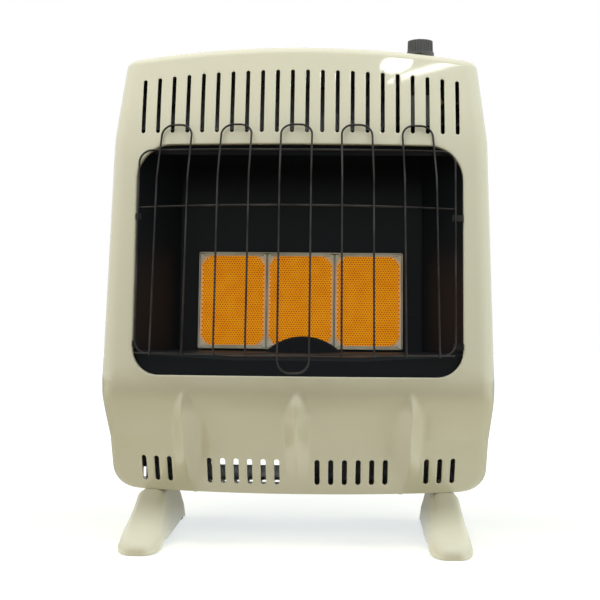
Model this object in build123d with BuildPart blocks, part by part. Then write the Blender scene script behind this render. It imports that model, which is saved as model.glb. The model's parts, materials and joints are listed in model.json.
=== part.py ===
"""Three-plaque infrared gas room heater on two bolt-on feet, as separate pieces, in millimetres.

Frame: +X to the heater's right as seen from the front, the front faces -Y, +Z is up and the floor is Z = 0.
A depth is measured backwards from the vertical plane through the casing's front crease.
"""

from build123d import *

import math
import os

# ---------------------------------------------------------------- driving dimensions
# Casing: a bowed sheet-steel cabinet, leaning back above its crease and undercut below it
CREASE_Y = -141.5  # plane of the front crease; puts the origin under the middle of the whole heater
CASING_REAR = 235.0  # depth of the cabinet's back edge
SHEET = 1.2  # casing sheet
CASING_BOTTOM = 68.6
CREASE_Z = 202.0
BREAK_Z = 552.0  # where the front starts to lean back more, between opening and heat slots
LEAN = 5.25  # degrees, the opening's lean
TOP_LEAN = 13.0
UNDERCUT = 29.2
CROWN_Z = 671.0  # top of the arched cover in the middle
CROWN_RADIUS = 1765.0
BOW_RADIUS = 1357.0  # front bow in plan, from the crease up
LOW_BOW_RADIUS = 554.0  # and near the bottom edge
SIDE_HALF = 260.0
SHOULDER_HALF = 252.0
TOP_HALF = 239.0
CORNER_RADIUS = 24.0  # upright corners between front and sides
FOOT_RADIUS = 30.0  # lower corners in the front view
TOP_EDGE_RADIUS = 12.0

# Front opening
OPENING_HALF = 217.3
OPENING_BOTTOM = 229.0
OPENING_TOP = 535.0
OPENING_TOP_RADIUS = 46.0
OPENING_LOW_RADIUS = 35.0
LIP_DEPTH = 10.0

# Slots and ribs
HEAT_SLOTS = 22
HEAT_SLOT_PITCH = 20.0
HEAT_SLOT_WIDTH = 5.2
HEAT_SLOT_BOTTOM = 551.0
HEAT_SLOT_CREST = 638.0  # top of the slots on the centre line; their tops follow the crown
AIR_SLOT_PITCH = 18.2
AIR_SLOT_WIDTH = 7.0
AIR_SLOT_BOTTOM = 82.0
AIR_SLOT_TOP = 117.4
AIR_SLOT_INNER_X = 26.8  # first of six slots on each side of the centre line
AIR_SLOT_OUTER_X = 173.6  # first of three slots at each end
RIB_X = 148.5

# Burner and firebox: they lean back with the opening, in a frame of their own
BURNER_DEPTH = 133.0
BURNER_Z = 330.6
PLAQUE_WIDTH = 92.0
PLAQUE_HEIGHT = 130.6
PLAQUE_THICK = 13.0
PLAQUE_PITCH = 94.5
BOX_HALF = 142.5
BOX_HALF_HEIGHT = 67.7
BOX_DEPTH = 45.0
BOX_WALL = 1.5
REFLECTOR = 1.0  # reflector sheet
BRACKET = 1.2  # bracket and frame sheet

# Guard of welded wire
WIRE_RADIUS = 1.35
GUARD_SHIFT = -3.5  # the guard sits against the left end of its clips
GUARD_LOW_Z = 257.5
GUARD_HIGH_Z = 450.3
GUARD_FRONT_LOW = -27.0
GUARD_FRONT_HIGH = -9.0
GUARD_SAG = 46.5  # how far the cross wires sweep back at their ends
GUARD_HALF = 209.0
GUARD_TOP_Z = 527.0
LOOP_TOP_Z = 561.0

# Control: knob on top, above the gas valve
KNOB_X = 163.0
KNOB_DEPTH = 110.0
KNOB_RADIUS = 19.0
KNOB_BOTTOM = 670.0
KNOB_TOP = 689.0
SPINDLE_RADIUS = 4.0
RUNNING_FIT = 0.05

# Feet
FOOT_X = 201.0
FOOT_HALF = 27.0
FOOT_FRONT = -28.0
FOOT_REAR = 316.0
FOOT_TOP = 68.4
FOOT_WALL = 2.6

os.makedirs("parts", exist_ok=True)


def y_at(depth: float) -> float:
    """Y of a depth behind the crease plane."""
    return depth + CREASE_Y


# The firebox frame: local X to the right, local Y up the lean, local Z towards the front
FIREBOX = Plane(
    origin=(0, y_at(BURNER_DEPTH), BURNER_Z),
    x_dir=(1, 0, 0),
    z_dir=(0, -math.cos(math.radians(LEAN)), math.sin(math.radians(LEAN))),
)
# Its upright section: local X towards the front, local Y up the lean
SECTION = Plane(origin=FIREBOX.origin, x_dir=FIREBOX.z_dir, z_dir=(-1, 0, 0))


def floor_plane(height: float) -> Plane:
    """Plane across the firebox at a height up the lean: local X to the right, local Y to the back."""
    return Plane(
        origin=FIREBOX.from_local_coords(Vector(0, height, 0)), x_dir=(1, 0, 0), z_dir=FIREBOX.y_dir
    )


def firebox_point(x: float, up: float, out: float) -> Vector:
    """Point of the firebox frame in the heater's frame."""
    return FIREBOX.from_local_coords(Vector(x, up, out))


def world(x: float, depth: float, z: float) -> Vector:
    """Point given by its depth behind the crease plane."""
    return Vector(x, y_at(depth), z)


# ---------------------------------------------------------------- casing surface
CREASE_BLEND = 26.0
BREAK_BLEND = 40.0
LOW_BOW_HEIGHT = 60.0  # the bow tightens over this height below the crease
TAPER_FOOT_Z = 220.0
SHOULDER_Z = 545.0
TAPER_TOP_Z = 655.0


def soft_corner(z: float, corner: float, blend: float, below: float, above: float) -> float:
    """Depth gained from the corner on, with slopes below and above it blended by a parabola."""
    run = z - corner
    if abs(run) >= blend:
        return run * (above if run > 0 else below)
    return below * run + (above - below) * (run + blend) ** 2 / (4 * blend)


def front_depth(z: float) -> float:
    """Depth of the casing's front on its centre line."""
    low = -math.tan(math.radians(UNDERCUT))
    middle = math.tan(math.radians(LEAN))
    high = math.tan(math.radians(TOP_LEAN))
    lower = soft_corner(z, CREASE_Z, CREASE_BLEND, low, middle)
    return lower + soft_corner(z, BREAK_Z, BREAK_BLEND, 0.0, high - middle)


def bow_radius(z: float) -> float:
    """Radius of the front's bow in plan at a height."""
    share = min(1.0, max(0.0, (CREASE_Z - z) / LOW_BOW_HEIGHT))
    return 1.0 / ((1.0 - share) / BOW_RADIUS + share / LOW_BOW_RADIUS)


def half_width(z: float, inset: float) -> float:
    """Half width of the casing at a height, drawn in by inset."""
    corner_z = CASING_BOTTOM + FOOT_RADIUS
    if z < corner_z:
        radius = FOOT_RADIUS - inset
        return SIDE_HALF - FOOT_RADIUS + math.sqrt(max(0.0, radius**2 - (corner_z - z) ** 2))
    if z < TAPER_FOOT_Z:
        return SIDE_HALF - inset
    if z < SHOULDER_Z:
        share = (z - TAPER_FOOT_Z) / (SHOULDER_Z - TAPER_FOOT_Z)
        return SIDE_HALF - (SIDE_HALF - SHOULDER_HALF) * share - inset
    share = (z - SHOULDER_Z) / (TAPER_TOP_Z - SHOULDER_Z)
    return SHOULDER_HALF - (SHOULDER_HALF - TOP_HALF) * share - inset


def front_slope(z: float) -> float:
    """Lean of the front at a height, in degrees, for the sheet's thickness along Y."""
    if z > BREAK_Z:
        return TOP_LEAN
    return LEAN if z > CREASE_Z else UNDERCUT


def surface_depth(x: float, z: float) -> float:
    """Depth of the casing's outer front away from the centre line."""
    return front_depth(z) + x**2 / (2 * bow_radius(z))


CORNER_ANGLES = (4, 14, 26, 40, 56, 72, 88)  # stations round the lower corners
FRONT_STATIONS = (
    [112, 128, 144, 160, 176, 184, 190, 196, 202, 208, 214, 221, 228]
    + [280, 350, 430, 512, 522, 532, 542, 552, 562, 572, 582, 592, 625, 690]
)
CUTTER = 800.0  # longer than the heater in every direction


def cabinet(inset: float, rear: float) -> Part:
    """Closed body of the cabinet, drawn in by inset, as a loft of level sections under an arched top."""
    radius = FOOT_RADIUS - inset
    corner_z = CASING_BOTTOM + FOOT_RADIUS
    levels = [corner_z - radius * math.cos(math.radians(angle)) for angle in CORNER_ANGLES]
    with BuildPart() as body:
        for z in levels + FRONT_STATIONS:
            half = half_width(z, inset)
            bow = bow_radius(z) - inset
            front = y_at(front_depth(z) + inset / math.cos(math.radians(front_slope(z))))
            side = front + bow - math.sqrt(bow**2 - half**2)
            with BuildSketch(Plane.XY.offset(z)) as level:
                with BuildLine():
                    ThreePointArc((-half, side), (0, front), (half, side))
                    Polyline((half, side), (half, y_at(rear)), (-half, y_at(rear)), (-half, side))
                make_face()
                fillet(level.vertices().group_by(Axis.Y)[0], CORNER_RADIUS - inset)
        loft(ruled=True)
        with BuildSketch(Plane.XZ.offset(-CUTTER / 2)):
            with Locations((0, CROWN_Z)):
                Rectangle(CUTTER, CUTTER / 4)
            with Locations((0, CROWN_Z - CROWN_RADIUS)):
                Circle(CROWN_RADIUS - inset, mode=Mode.SUBTRACT)
        extrude(amount=CUTTER, mode=Mode.SUBTRACT)
        top_edges = body.faces().sort_by(Axis.Z)[-1].edges()
        fillet([edge for edge in top_edges if edge.center().Y < y_at(rear) - 1], TOP_EDGE_RADIUS - inset)
    return body.part


RIB_SECTIONS = (  # height, half base, how proud the crest stands
    (203.0, 1.2, 0.3),
    (194.0, 7.0, 3.2),
    (182.0, 12.0, 7.5),
    (166.0, 15.0, 13.0),
    (145.0, 15.8, 17.5),
    (124.0, 15.5, 15.0),
    (104.0, 13.5, 8.0),
    (90.0, 9.0, 0.8),
)
RIB_TURN = 9.0  # degrees that the outer ribs face outwards
RIB_ROOT = 8.0


def rib(x: float, inset: float) -> Part:
    """One pressed rib that carries the crease's line down over the undercut."""
    turn = math.radians(RIB_TURN * x / RIB_X)
    with BuildPart() as body:
        for z, half, proud in RIB_SECTIONS:
            side = max(0.3, half - inset)
            crest = proud - inset * 1.3
            level = Plane(
                origin=(x, y_at(surface_depth(x, z)), z),
                x_dir=(math.cos(turn), math.sin(turn), 0),
                z_dir=(0, 0, 1),
            )
            with BuildSketch(level):
                with BuildLine():
                    root = [(side, RIB_ROOT), (-side, RIB_ROOT)]
                    Polyline(*root, (-side, 0), (0, -crest), (side, 0), close=True)
                make_face()
        loft(ruled=True)
    return body.part


def opening_outline(grow: float) -> Sketch:
    """Outline of the front opening in the front view, grown by grow on every side."""
    with BuildSketch(Plane.XZ) as outline:
        with Locations((0, (OPENING_TOP + OPENING_BOTTOM) / 2)):
            Rectangle(2 * (OPENING_HALF + grow), OPENING_TOP - OPENING_BOTTOM + 2 * grow)
        fillet(outline.vertices().group_by(Axis.Y)[-1], OPENING_TOP_RADIUS + grow)
        fillet(outline.vertices().group_by(Axis.Y)[0], OPENING_LOW_RADIUS + grow)
    return outline.sketch


def heat_slot_top(x: float) -> float:
    """Height of a heat slot's upper end, which follows the crown."""
    return HEAT_SLOT_CREST - x**2 / (2 * CROWN_RADIUS)


HEAT_SLOT_XS = [(index - (HEAT_SLOTS - 1) / 2) * HEAT_SLOT_PITCH for index in range(HEAT_SLOTS)]
AIR_SLOT_XS = [AIR_SLOT_INNER_X + AIR_SLOT_PITCH * index for index in range(6)]
AIR_SLOT_XS += [AIR_SLOT_OUTER_X + AIR_SLOT_PITCH * index for index in range(3)]

FLANGE_REACH = 165.0  # the bottom flange is cut out between +-this
FLANGE_FRONT = 118.0  # and from this depth back
SPINDLE_HOLE = 6.0
SCREW_RADIUS = 2.0
SCREW_HOLE = 2.2
FLANGE_SCREW_XS = (60.0, 140.0)
FLANGE_SCREW_DEPTH = 108.0
BOLT_RADIUS = 3.0
BOLT_HOLE = 3.3
BOLT_DEPTHS = (135.0, 205.0)

outer_cabinet = cabinet(0.0, CASING_REAR)
with BuildPart() as opening_lip:  # folded back round the opening, from the middle of the sheet inwards
    extrude(opening_outline(SHEET), amount=CUTTER / 4)
    extrude(opening_outline(0.0), amount=CUTTER / 4, mode=Mode.SUBTRACT)
    add(outer_cabinet.moved(Location((0, SHEET / 2, 0))), mode=Mode.INTERSECT)
    add(outer_cabinet.moved(Location((0, LIP_DEPTH, 0))), mode=Mode.SUBTRACT)

with BuildPart() as front_casing:
    add(outer_cabinet)
    for rib_x in (-RIB_X, 0.0, RIB_X):
        add(rib(rib_x, 0.0))
    add(cabinet(SHEET, CASING_REAR + 10), mode=Mode.SUBTRACT)
    for rib_x in (-RIB_X, 0.0, RIB_X):
        add(rib(rib_x, SHEET), mode=Mode.SUBTRACT)
    extrude(opening_outline(0.0), amount=CUTTER / 4, mode=Mode.SUBTRACT)
    with BuildSketch(Plane.XZ):
        for slot_x in HEAT_SLOT_XS:
            slot_length = heat_slot_top(slot_x) - HEAT_SLOT_BOTTOM
            with Locations((slot_x, HEAT_SLOT_BOTTOM + slot_length / 2)):
                SlotOverall(slot_length, HEAT_SLOT_WIDTH, rotation=90)
        for slot_x in AIR_SLOT_XS:
            with Locations(*[(side * slot_x, (AIR_SLOT_TOP + AIR_SLOT_BOTTOM) / 2) for side in (-1, 1)]):
                SlotOverall(AIR_SLOT_TOP - AIR_SLOT_BOTTOM, AIR_SLOT_WIDTH, rotation=90)
    extrude(amount=CUTTER / 4, mode=Mode.SUBTRACT)
    with BuildSketch(Plane.XY.offset(CASING_BOTTOM - 1)):
        with Locations((0, y_at((FLANGE_FRONT + CASING_REAR) / 2 + 10))):
            Rectangle(2 * FLANGE_REACH, CASING_REAR - FLANGE_FRONT + 20)
        with Locations(*[(side * FOOT_X, y_at(depth)) for side in (-1, 1) for depth in BOLT_DEPTHS]):
            Circle(BOLT_HOLE)
        with Locations(*[(side * x, y_at(FLANGE_SCREW_DEPTH)) for side in (-1, 1) for x in FLANGE_SCREW_XS]):
            Circle(SCREW_HOLE)
    extrude(amount=SHEET + 2, mode=Mode.SUBTRACT)
    with BuildSketch(Plane.XY.offset(CROWN_Z - 20)):
        with Locations((KNOB_X, y_at(KNOB_DEPTH))):
            Circle(SPINDLE_HOLE)
    extrude(amount=40, mode=Mode.SUBTRACT)
    add(opening_lip.part)
front_casing.part.label = "front_casing"
export_step(front_casing.part, "parts/front_casing.step")


# ---------------------------------------------------------------- shared shapes
BEND = 2.0  # bend radius of folded sheet, on the path's side


def folded(points: list, thickness: float, bend: float = BEND) -> Sketch:
    """Section of folded sheet along a path, with the sheet on the path's left."""
    with BuildSketch() as profile:
        with BuildLine():
            if len(points) > 2:
                FilletPolyline(*points, radius=bend)
            else:
                Line(*points)
            offset(amount=thickness, side=Side.LEFT)
        make_face()
    return profile.sketch


def tube(points: list, bends: list, outer: float, inner: float = 0.0) -> Part:
    """Tube or rod along straight runs joined by tangent arcs."""
    with BuildPart() as body:
        with BuildLine() as path:
            if bends:
                FilletPolyline(*points, radius=bends)
            else:
                Line(*points)
        with BuildSketch(Plane(origin=path.line @ 0, z_dir=path.line % 0)):
            Circle(outer)
            if inner:
                Circle(inner, mode=Mode.SUBTRACT)
        sweep(path=path.wire())
    return body.part


def disc(x: float, depth: float, low: float, high: float, radius: float, bore: float = 0.0) -> Part:
    """Upright cylinder or ring between two heights."""
    with BuildPart() as body:
        with BuildSketch(Plane.XY.offset(low)):
            with Locations((x, y_at(depth))):
                Circle(radius)
                if bore:
                    Circle(bore, mode=Mode.SUBTRACT)
        extrude(amount=high - low)
    return body.part


def screw(origin: Vector, out: Vector, length: float, head: float, radius: float = SCREW_RADIUS) -> Part:
    """Pan-head screw: the head's underside is at origin, the head points along out."""
    with BuildPart() as body:
        with BuildSketch(Plane(origin=origin, z_dir=out)):
            Circle(head)
        extrude(amount=head * 0.6)
        fillet(body.edges().group_by(Axis(origin, out))[-1], head * 0.3)
        with BuildSketch(Plane(origin=origin, z_dir=out)):
            Circle(radius)
        extrude(amount=-length)
    return body.part


# ---------------------------------------------------------------- rear panel and frame
PANEL_DEPTH = 234.8  # outer face of the rear panel
PANEL_GAP = 1.0
PANEL_BOTTOM = 86.0
PANEL_FLANGE = 14.0
PANEL_CORNER = 16.0
NOTCH = (-132.0, -25.0)  # air inlet cut out of the panel's lower edge
NOTCH_TOP = 106.0
INLET_X = 175.0
INLET_Z = 112.0
INLET_HOLE = 14.0
KEYHOLE_X = 190.0
KEYHOLE_Z = 600.0
PANEL_SCREW_X = 239.0
PANEL_SCREW_ZS = (200.0, 480.0)
LOUVRE_ROWS = 9
LOUVRE_LENGTH = 70.0


def panel_outline(inset: float) -> Sketch:
    """Rear view of the cabinet's inside, drawn in by inset."""
    low = PANEL_BOTTOM - (1.0 if inset else 0.0)  # no flange along the lower edge
    levels = [low, CASING_BOTTOM + FOOT_RADIUS, TAPER_FOOT_Z, SHOULDER_Z, CROWN_Z + 40]
    right = [(half_width(z, SHEET + PANEL_GAP + inset), z) for z in levels]
    left = [(-x, z) for x, z in reversed(right)]
    with BuildSketch(Plane.XZ) as outline:
        with BuildLine():
            Polyline(*right, *left, close=True)
        make_face()
        with Locations((0, CROWN_Z - CROWN_RADIUS)):
            Circle(CROWN_RADIUS - SHEET - PANEL_GAP - inset, mode=Mode.INTERSECT)
        fillet(outline.vertices().group_by(Axis.Y)[-1], PANEL_CORNER - inset)
    return outline.sketch


with BuildPart() as rear_panel:
    extrude(panel_outline(0.0).moved(Location((0, y_at(PANEL_DEPTH), 0))), amount=PANEL_FLANGE)
    inside = panel_outline(SHEET).moved(Location((0, y_at(PANEL_DEPTH - SHEET), 0)))
    extrude(inside, amount=PANEL_FLANGE, mode=Mode.SUBTRACT)
    with BuildSketch(Plane.XZ.offset(-y_at(PANEL_DEPTH + 1))):
        with Locations(((NOTCH[0] + NOTCH[1]) / 2, (NOTCH_TOP + PANEL_BOTTOM) / 2)):
            Rectangle(NOTCH[1] - NOTCH[0], NOTCH_TOP - PANEL_BOTTOM)
        with Locations((INLET_X, INLET_Z)):
            Circle(INLET_HOLE)
        with Locations((-KEYHOLE_X, KEYHOLE_Z), (KEYHOLE_X, KEYHOLE_Z)):
            Circle(5.0)
        with Locations((-KEYHOLE_X, KEYHOLE_Z + 6), (KEYHOLE_X, KEYHOLE_Z + 6)):
            SlotOverall(12.0 + 5.0, 5.0, rotation=90)
        with Locations(*[(side * PANEL_SCREW_X, z) for side in (-1, 1) for z in PANEL_SCREW_ZS]):
            Circle(SCREW_HOLE)
        with Locations((-90, 300), (90, 300)):
            with GridLocations(0, 16.0, 1, LOUVRE_ROWS):
                SlotOverall(LOUVRE_LENGTH, 4.0)
    extrude(amount=SHEET + 2, mode=Mode.SUBTRACT)
rear_panel.part.label = "rear_panel"
export_step(rear_panel.part, "parts/rear_panel.step")

BASE_Z = 70.0
BASE_HALF = 228.0
BASE_FRONT = 82.0  # on the centre line; the front edge follows the bow
BASE_FRONT_END = 134.0
BASE_UPSTAND = 91.0
with BuildPart() as base_panel:
    with BuildSketch(Plane.XY.offset(BASE_Z)):
        with BuildLine():
            ThreePointArc(
                (-BASE_HALF, y_at(BASE_FRONT_END)), (0, y_at(BASE_FRONT)), (BASE_HALF, y_at(BASE_FRONT_END))
            )
            Polyline(
                (BASE_HALF, y_at(BASE_FRONT_END)),
                (BASE_HALF, y_at(232.2)),
                (-BASE_HALF, y_at(232.2)),
                (-BASE_HALF, y_at(BASE_FRONT_END)),
            )
        make_face()
        with Locations(*[(side * FOOT_X, y_at(depth)) for side in (-1, 1) for depth in BOLT_DEPTHS]):
            Circle(BOLT_HOLE, mode=Mode.SUBTRACT)
        with Locations(*[(side * x, y_at(FLANGE_SCREW_DEPTH)) for side in (-1, 1) for x in FLANGE_SCREW_XS]):
            Circle(SCREW_HOLE, mode=Mode.SUBTRACT)
        with Locations(((NOTCH[0] + NOTCH[1]) / 2, y_at(205))):
            with GridLocations(18.0, 0, 6, 1):
                SlotOverall(30.0, 8.0, rotation=90, mode=Mode.SUBTRACT)
    extrude(amount=BRACKET)
    with BuildSketch(Plane.YZ.offset(-BASE_HALF)):
        with Locations((y_at(231.6), (BASE_Z + BASE_UPSTAND) / 2)):
            Rectangle(BRACKET, BASE_UPSTAND - BASE_Z)
    extrude(amount=2 * BASE_HALF)
base_panel.part.label = "base_panel"
export_step(base_panel.part, "parts/base_panel.step")

POST_X = 232.0
POST_TOP = 640.0
POST_FLANGE_TOP = 560.0
POST_PROFILE = [(130, 71.4), (233.4, 71.4), (233.4, POST_TOP), (85, POST_TOP), (85, 180)]


BACK_SCREWS = [firebox_point(0, up, -16.0) for up in (-50.0, 80.0, 210.0)]
DEFLECTOR_SCREWS = [world(0, depth, 636.0) for depth in (120.0, 200.0)]
SHELF_SCREWS = [world(0, depth, 553.0) for depth in (105.0, 140.0)]
with BuildPart() as side_hole_cutters:  # every screw hole through a post and a flange that lies on it
    with BuildSketch(Plane.YZ.offset(-CUTTER / 2)):
        with Locations(*[(spot.Y, spot.Z) for spot in BACK_SCREWS + DEFLECTOR_SCREWS + SHELF_SCREWS]):
            Circle(SCREW_HOLE)
    extrude(amount=CUTTER)
side_holes = side_hole_cutters.part


def post(side: int) -> Part:
    """Upright side plate with a foot flange inwards and a rear flange outwards."""
    with BuildPart() as body:
        with BuildSketch(Plane.YZ.offset(side * POST_X)):
            Polygon(*[(y_at(depth), z) for depth, z in POST_PROFILE], align=None)
            with Locations(*[(y_at(160), z) for z in (240, 330, 420, 510)]):
                SlotOverall(46.0, 22.0, rotation=90, mode=Mode.SUBTRACT)
        extrude(amount=side * BRACKET)
        add(side_holes, mode=Mode.SUBTRACT)
        with BuildSketch(Plane.XY.offset(POST_PROFILE[0][1])):
            with Locations((side * (POST_X - 8), y_at(182))):
                Rectangle(18.0, 96.0)
        extrude(amount=BRACKET)
        with BuildSketch(Plane.XZ.offset(-y_at(233.4))):
            with Locations((side * (POST_X + 6), (POST_FLANGE_TOP + 110) / 2)):
                Rectangle(12.0, POST_FLANGE_TOP - 110)
            with Locations(*[(side * PANEL_SCREW_X, z) for z in PANEL_SCREW_ZS]):
                Circle(SCREW_HOLE, mode=Mode.SUBTRACT)
        extrude(amount=BRACKET)
    return body.part


with BuildPart() as left_post:
    add(post(-1))
left_post.part.label = "left_post"
export_step(left_post.part, "parts/left_post.step")

with BuildPart() as right_post:
    add(post(1))
right_post.part.label = "right_post"
export_step(right_post.part, "parts/right_post.step")

DEFLECTOR_Z = 649.2  # top face
DEFLECTOR_HOLE = 12.0
DEFLECTOR_DEPTHS = (86.0, 228.0)
PLATE_END = POST_X - 0.1  # cross plates end in flanges that lie on the posts
with BuildPart() as top_deflector:
    with BuildSketch(Plane.XZ.offset(-y_at(DEFLECTOR_DEPTHS[1]))):
        ends = [(PLATE_END, 628), (PLATE_END, DEFLECTOR_Z), (-PLATE_END, DEFLECTOR_Z), (-PLATE_END, 628)]
        add(folded(ends, BRACKET, BEND + BRACKET))
    extrude(amount=DEFLECTOR_DEPTHS[1] - DEFLECTOR_DEPTHS[0])
    add(side_holes, mode=Mode.SUBTRACT)
    with BuildSketch(Plane.XY.offset(DEFLECTOR_Z + 1)):
        with Locations((KNOB_X, y_at(KNOB_DEPTH))):
            Circle(DEFLECTOR_HOLE)
    extrude(amount=-BRACKET - 2, mode=Mode.SUBTRACT)
top_deflector.part.label = "top_deflector"
export_step(top_deflector.part, "parts/top_deflector.step")

# ---------------------------------------------------------------- reflectors
BACK_FRONT = -5.0  # front face of the back reflector, behind the burner's rim
BACK_LOW = -76.0
BACK_HIGH = 244.0
BACK_FLANGE = 22.0
BRACKET_SPOTS = [(side * 153.0, up) for side in (-1, 1) for up in (-20.0, 20.0)]
PILOT_SPOTS = [(-16.0, -72.5), (19.0, -72.5)]
with BuildPart() as back_reflector:
    with BuildSketch(floor_plane(BACK_LOW)):
        path = [
            (-PLATE_END, -BACK_FRONT + BACK_FLANGE),
            (-PLATE_END, -BACK_FRONT),
            (PLATE_END, -BACK_FRONT),
            (PLATE_END, -BACK_FRONT + BACK_FLANGE),
        ]
        add(folded(path, BRACKET, BEND + BRACKET))
    extrude(amount=BACK_HIGH - BACK_LOW)
    add(side_holes, mode=Mode.SUBTRACT)
    with BuildSketch(FIREBOX):
        Rectangle(2 * BOX_HALF + 1, 2 * BOX_HALF_HEIGHT + 1)
        with Locations(*BRACKET_SPOTS, *PILOT_SPOTS):
            Circle(SCREW_HOLE)
    extrude(amount=-CUTTER / 20, mode=Mode.SUBTRACT)
back_reflector.part.label = "back_reflector"
export_step(back_reflector.part, "parts/back_reflector.step")

SIDE_REAR = (168.0, -4.9)  # where a side reflector leaves the back reflector: X, forward
SIDE_FRONT = (221.0, 90.0)
SIDE_LOW = -76.0
SIDE_HIGH = 213.5


def side_reflector(side: int) -> Part:
    """Slanted side wall of the firebox, with a flange at the rear and one at the front."""
    path = [
        (SIDE_REAR[0] + 18, -SIDE_REAR[1]),
        (SIDE_REAR[0], -SIDE_REAR[1]),
        (SIDE_FRONT[0], -SIDE_FRONT[1]),
        (SIDE_FRONT[0] + 9, -SIDE_FRONT[1]),
    ]
    with BuildPart() as body:
        with BuildSketch(floor_plane(SIDE_LOW)):
            add(folded(path, REFLECTOR * 0.8, BEND))
            if side < 0:
                mirror(about=Plane.YZ, mode=Mode.REPLACE)
        extrude(amount=SIDE_HIGH - SIDE_LOW)
    return body.part


with BuildPart() as side_reflector_left:
    add(side_reflector(-1))
side_reflector_left.part.label = "side_reflector_left"
export_step(side_reflector_left.part, "parts/side_reflector_left.step")

with BuildPart() as side_reflector_right:
    add(side_reflector(1))
side_reflector_right.part.label = "side_reflector_right"
export_step(side_reflector_right.part, "parts/side_reflector_right.step")

HOOD_HALF = 228.0
HOOD_TOP = 215.0
HOOD_LOW = 185.5
HOOD_REAR = 40.0
HOOD_FRONT = 92.0
with BuildPart() as hood:
    with BuildSketch(Plane(origin=firebox_point(-HOOD_HALF, 0, 0), x_dir=SECTION.x_dir, z_dir=(-1, 0, 0))):
        path = [
            (HOOD_REAR, HOOD_TOP + 10),
            (HOOD_REAR, HOOD_TOP),
            (HOOD_FRONT, HOOD_TOP),
            (HOOD_FRONT, HOOD_LOW),
        ]
        add(folded(path, REFLECTOR))
    extrude(amount=-2 * HOOD_HALF)
hood.part.label = "hood"
export_step(hood.part, "parts/hood.step")

CREST_HALF = 85.0  # the lower reflector's front edge is level between +-this, and rises to its ends
CREST_UP = -86.0
CREST_END_UP = -77.0
CREST_STATIONS = (-219.0, -152.0, -85.0, -30.0, 30.0, 85.0, 152.0, 219.0)
CREST_OUT = 106.0
WALL_LOW = -117.5
FRONT_BOW = 2 * BOW_RADIUS
PILOT_HOLE = (3.0, 8.0, 50.0, 17.0)  # centre X, centre out, width, length


def lower_section(x: float) -> Sketch:
    """Section of the lower reflector at X: down to the front edge, then a bent-down front wall."""
    out = CREST_OUT - x**2 / FRONT_BOW
    rise = max(0.0, abs(x) - CREST_HALF) / (CREST_STATIONS[-1] - CREST_HALF)
    crest = CREST_UP + (CREST_END_UP - CREST_UP) * rise
    path = [
        (out, WALL_LOW),
        (out, crest - 5),
        (out - 5, crest),
        (BACK_FRONT + 0.1, BACK_LOW + 6),
        (BACK_FRONT + 0.1, BACK_LOW),
    ]
    return folded(path, REFLECTOR)


with BuildPart() as lower_reflector:
    for x in CREST_STATIONS:
        with BuildSketch(Plane(origin=firebox_point(x, 0, 0), x_dir=SECTION.x_dir, z_dir=(-1, 0, 0))):
            add(lower_section(x))
    loft(ruled=True)
    with BuildSketch(floor_plane(WALL_LOW - 5)):
        for side in (-1, 1):
            with BuildLine():
                Polyline(
                    (side * (SIDE_REAR[0] - 0.6), 12),
                    (side * (SIDE_REAR[0] - 0.6), -SIDE_REAR[1]),
                    (side * (SIDE_FRONT[0] - 0.6), -SIDE_FRONT[1]),
                    (side * (SIDE_FRONT[0] + 20), -SIDE_FRONT[1]),
                    (side * (SIDE_FRONT[0] + 20), 12),
                    close=True,
                )
            make_face()
        with Locations((PILOT_HOLE[0], -PILOT_HOLE[1])):
            RectangleRounded(PILOT_HOLE[2], PILOT_HOLE[3], 3)
    extrude(amount=60, mode=Mode.SUBTRACT)
    with BuildSketch(FIREBOX):
        with Locations(*PILOT_SPOTS):
            Circle(SCREW_HOLE)
    extrude(amount=-20, mode=Mode.SUBTRACT)
lower_reflector.part.label = "lower_reflector"
export_step(lower_reflector.part, "parts/lower_reflector.step")

SHIELD_X = 5.0
SHIELD_HALF = 53.0
SHIELD_TOP = -51.0
SHIELD_LOW = -74.0
SHIELD_OUT = (5.0, 15.0)


def shield_outline(inset: float) -> Sketch:
    """Low arch of the pilot shield, drawn in by inset."""
    with BuildSketch(FIREBOX.offset(SHIELD_OUT[0])) as outline:
        with BuildLine():
            ThreePointArc(
                (SHIELD_X - SHIELD_HALF + 2 * inset, SHIELD_LOW),
                (SHIELD_X, SHIELD_TOP - inset),
                (SHIELD_X + SHIELD_HALF - 2 * inset, SHIELD_LOW),
            )
            reach = SHIELD_HALF - 2 * inset
            Line((SHIELD_X + reach, SHIELD_LOW), (SHIELD_X - reach, SHIELD_LOW))
        make_face()
    return outline.sketch


with BuildPart() as pilot_shield:
    extrude(shield_outline(0.0), amount=SHIELD_OUT[1] - SHIELD_OUT[0])
    fillet(pilot_shield.edges().group_by(Axis(FIREBOX.origin, FIREBOX.z_dir))[-1].sort_by(Axis.Z)[-1], 3)
    extrude(shield_outline(0.8), amount=SHIELD_OUT[1] - SHIELD_OUT[0] - 0.8, mode=Mode.SUBTRACT)
    with BuildSketch(Plane(origin=firebox_point(-CREST_HALF, 0, 0), x_dir=SECTION.x_dir, z_dir=(-1, 0, 0))):
        Polygon((0, -70.64), (20, -73.66), (20, -80), (0, -80), align=None)  # along the lower reflector
    extrude(amount=-2 * CREST_HALF, mode=Mode.SUBTRACT)
pilot_shield.part.label = "pilot_shield"
export_step(pilot_shield.part, "parts/pilot_shield.step")

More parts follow.
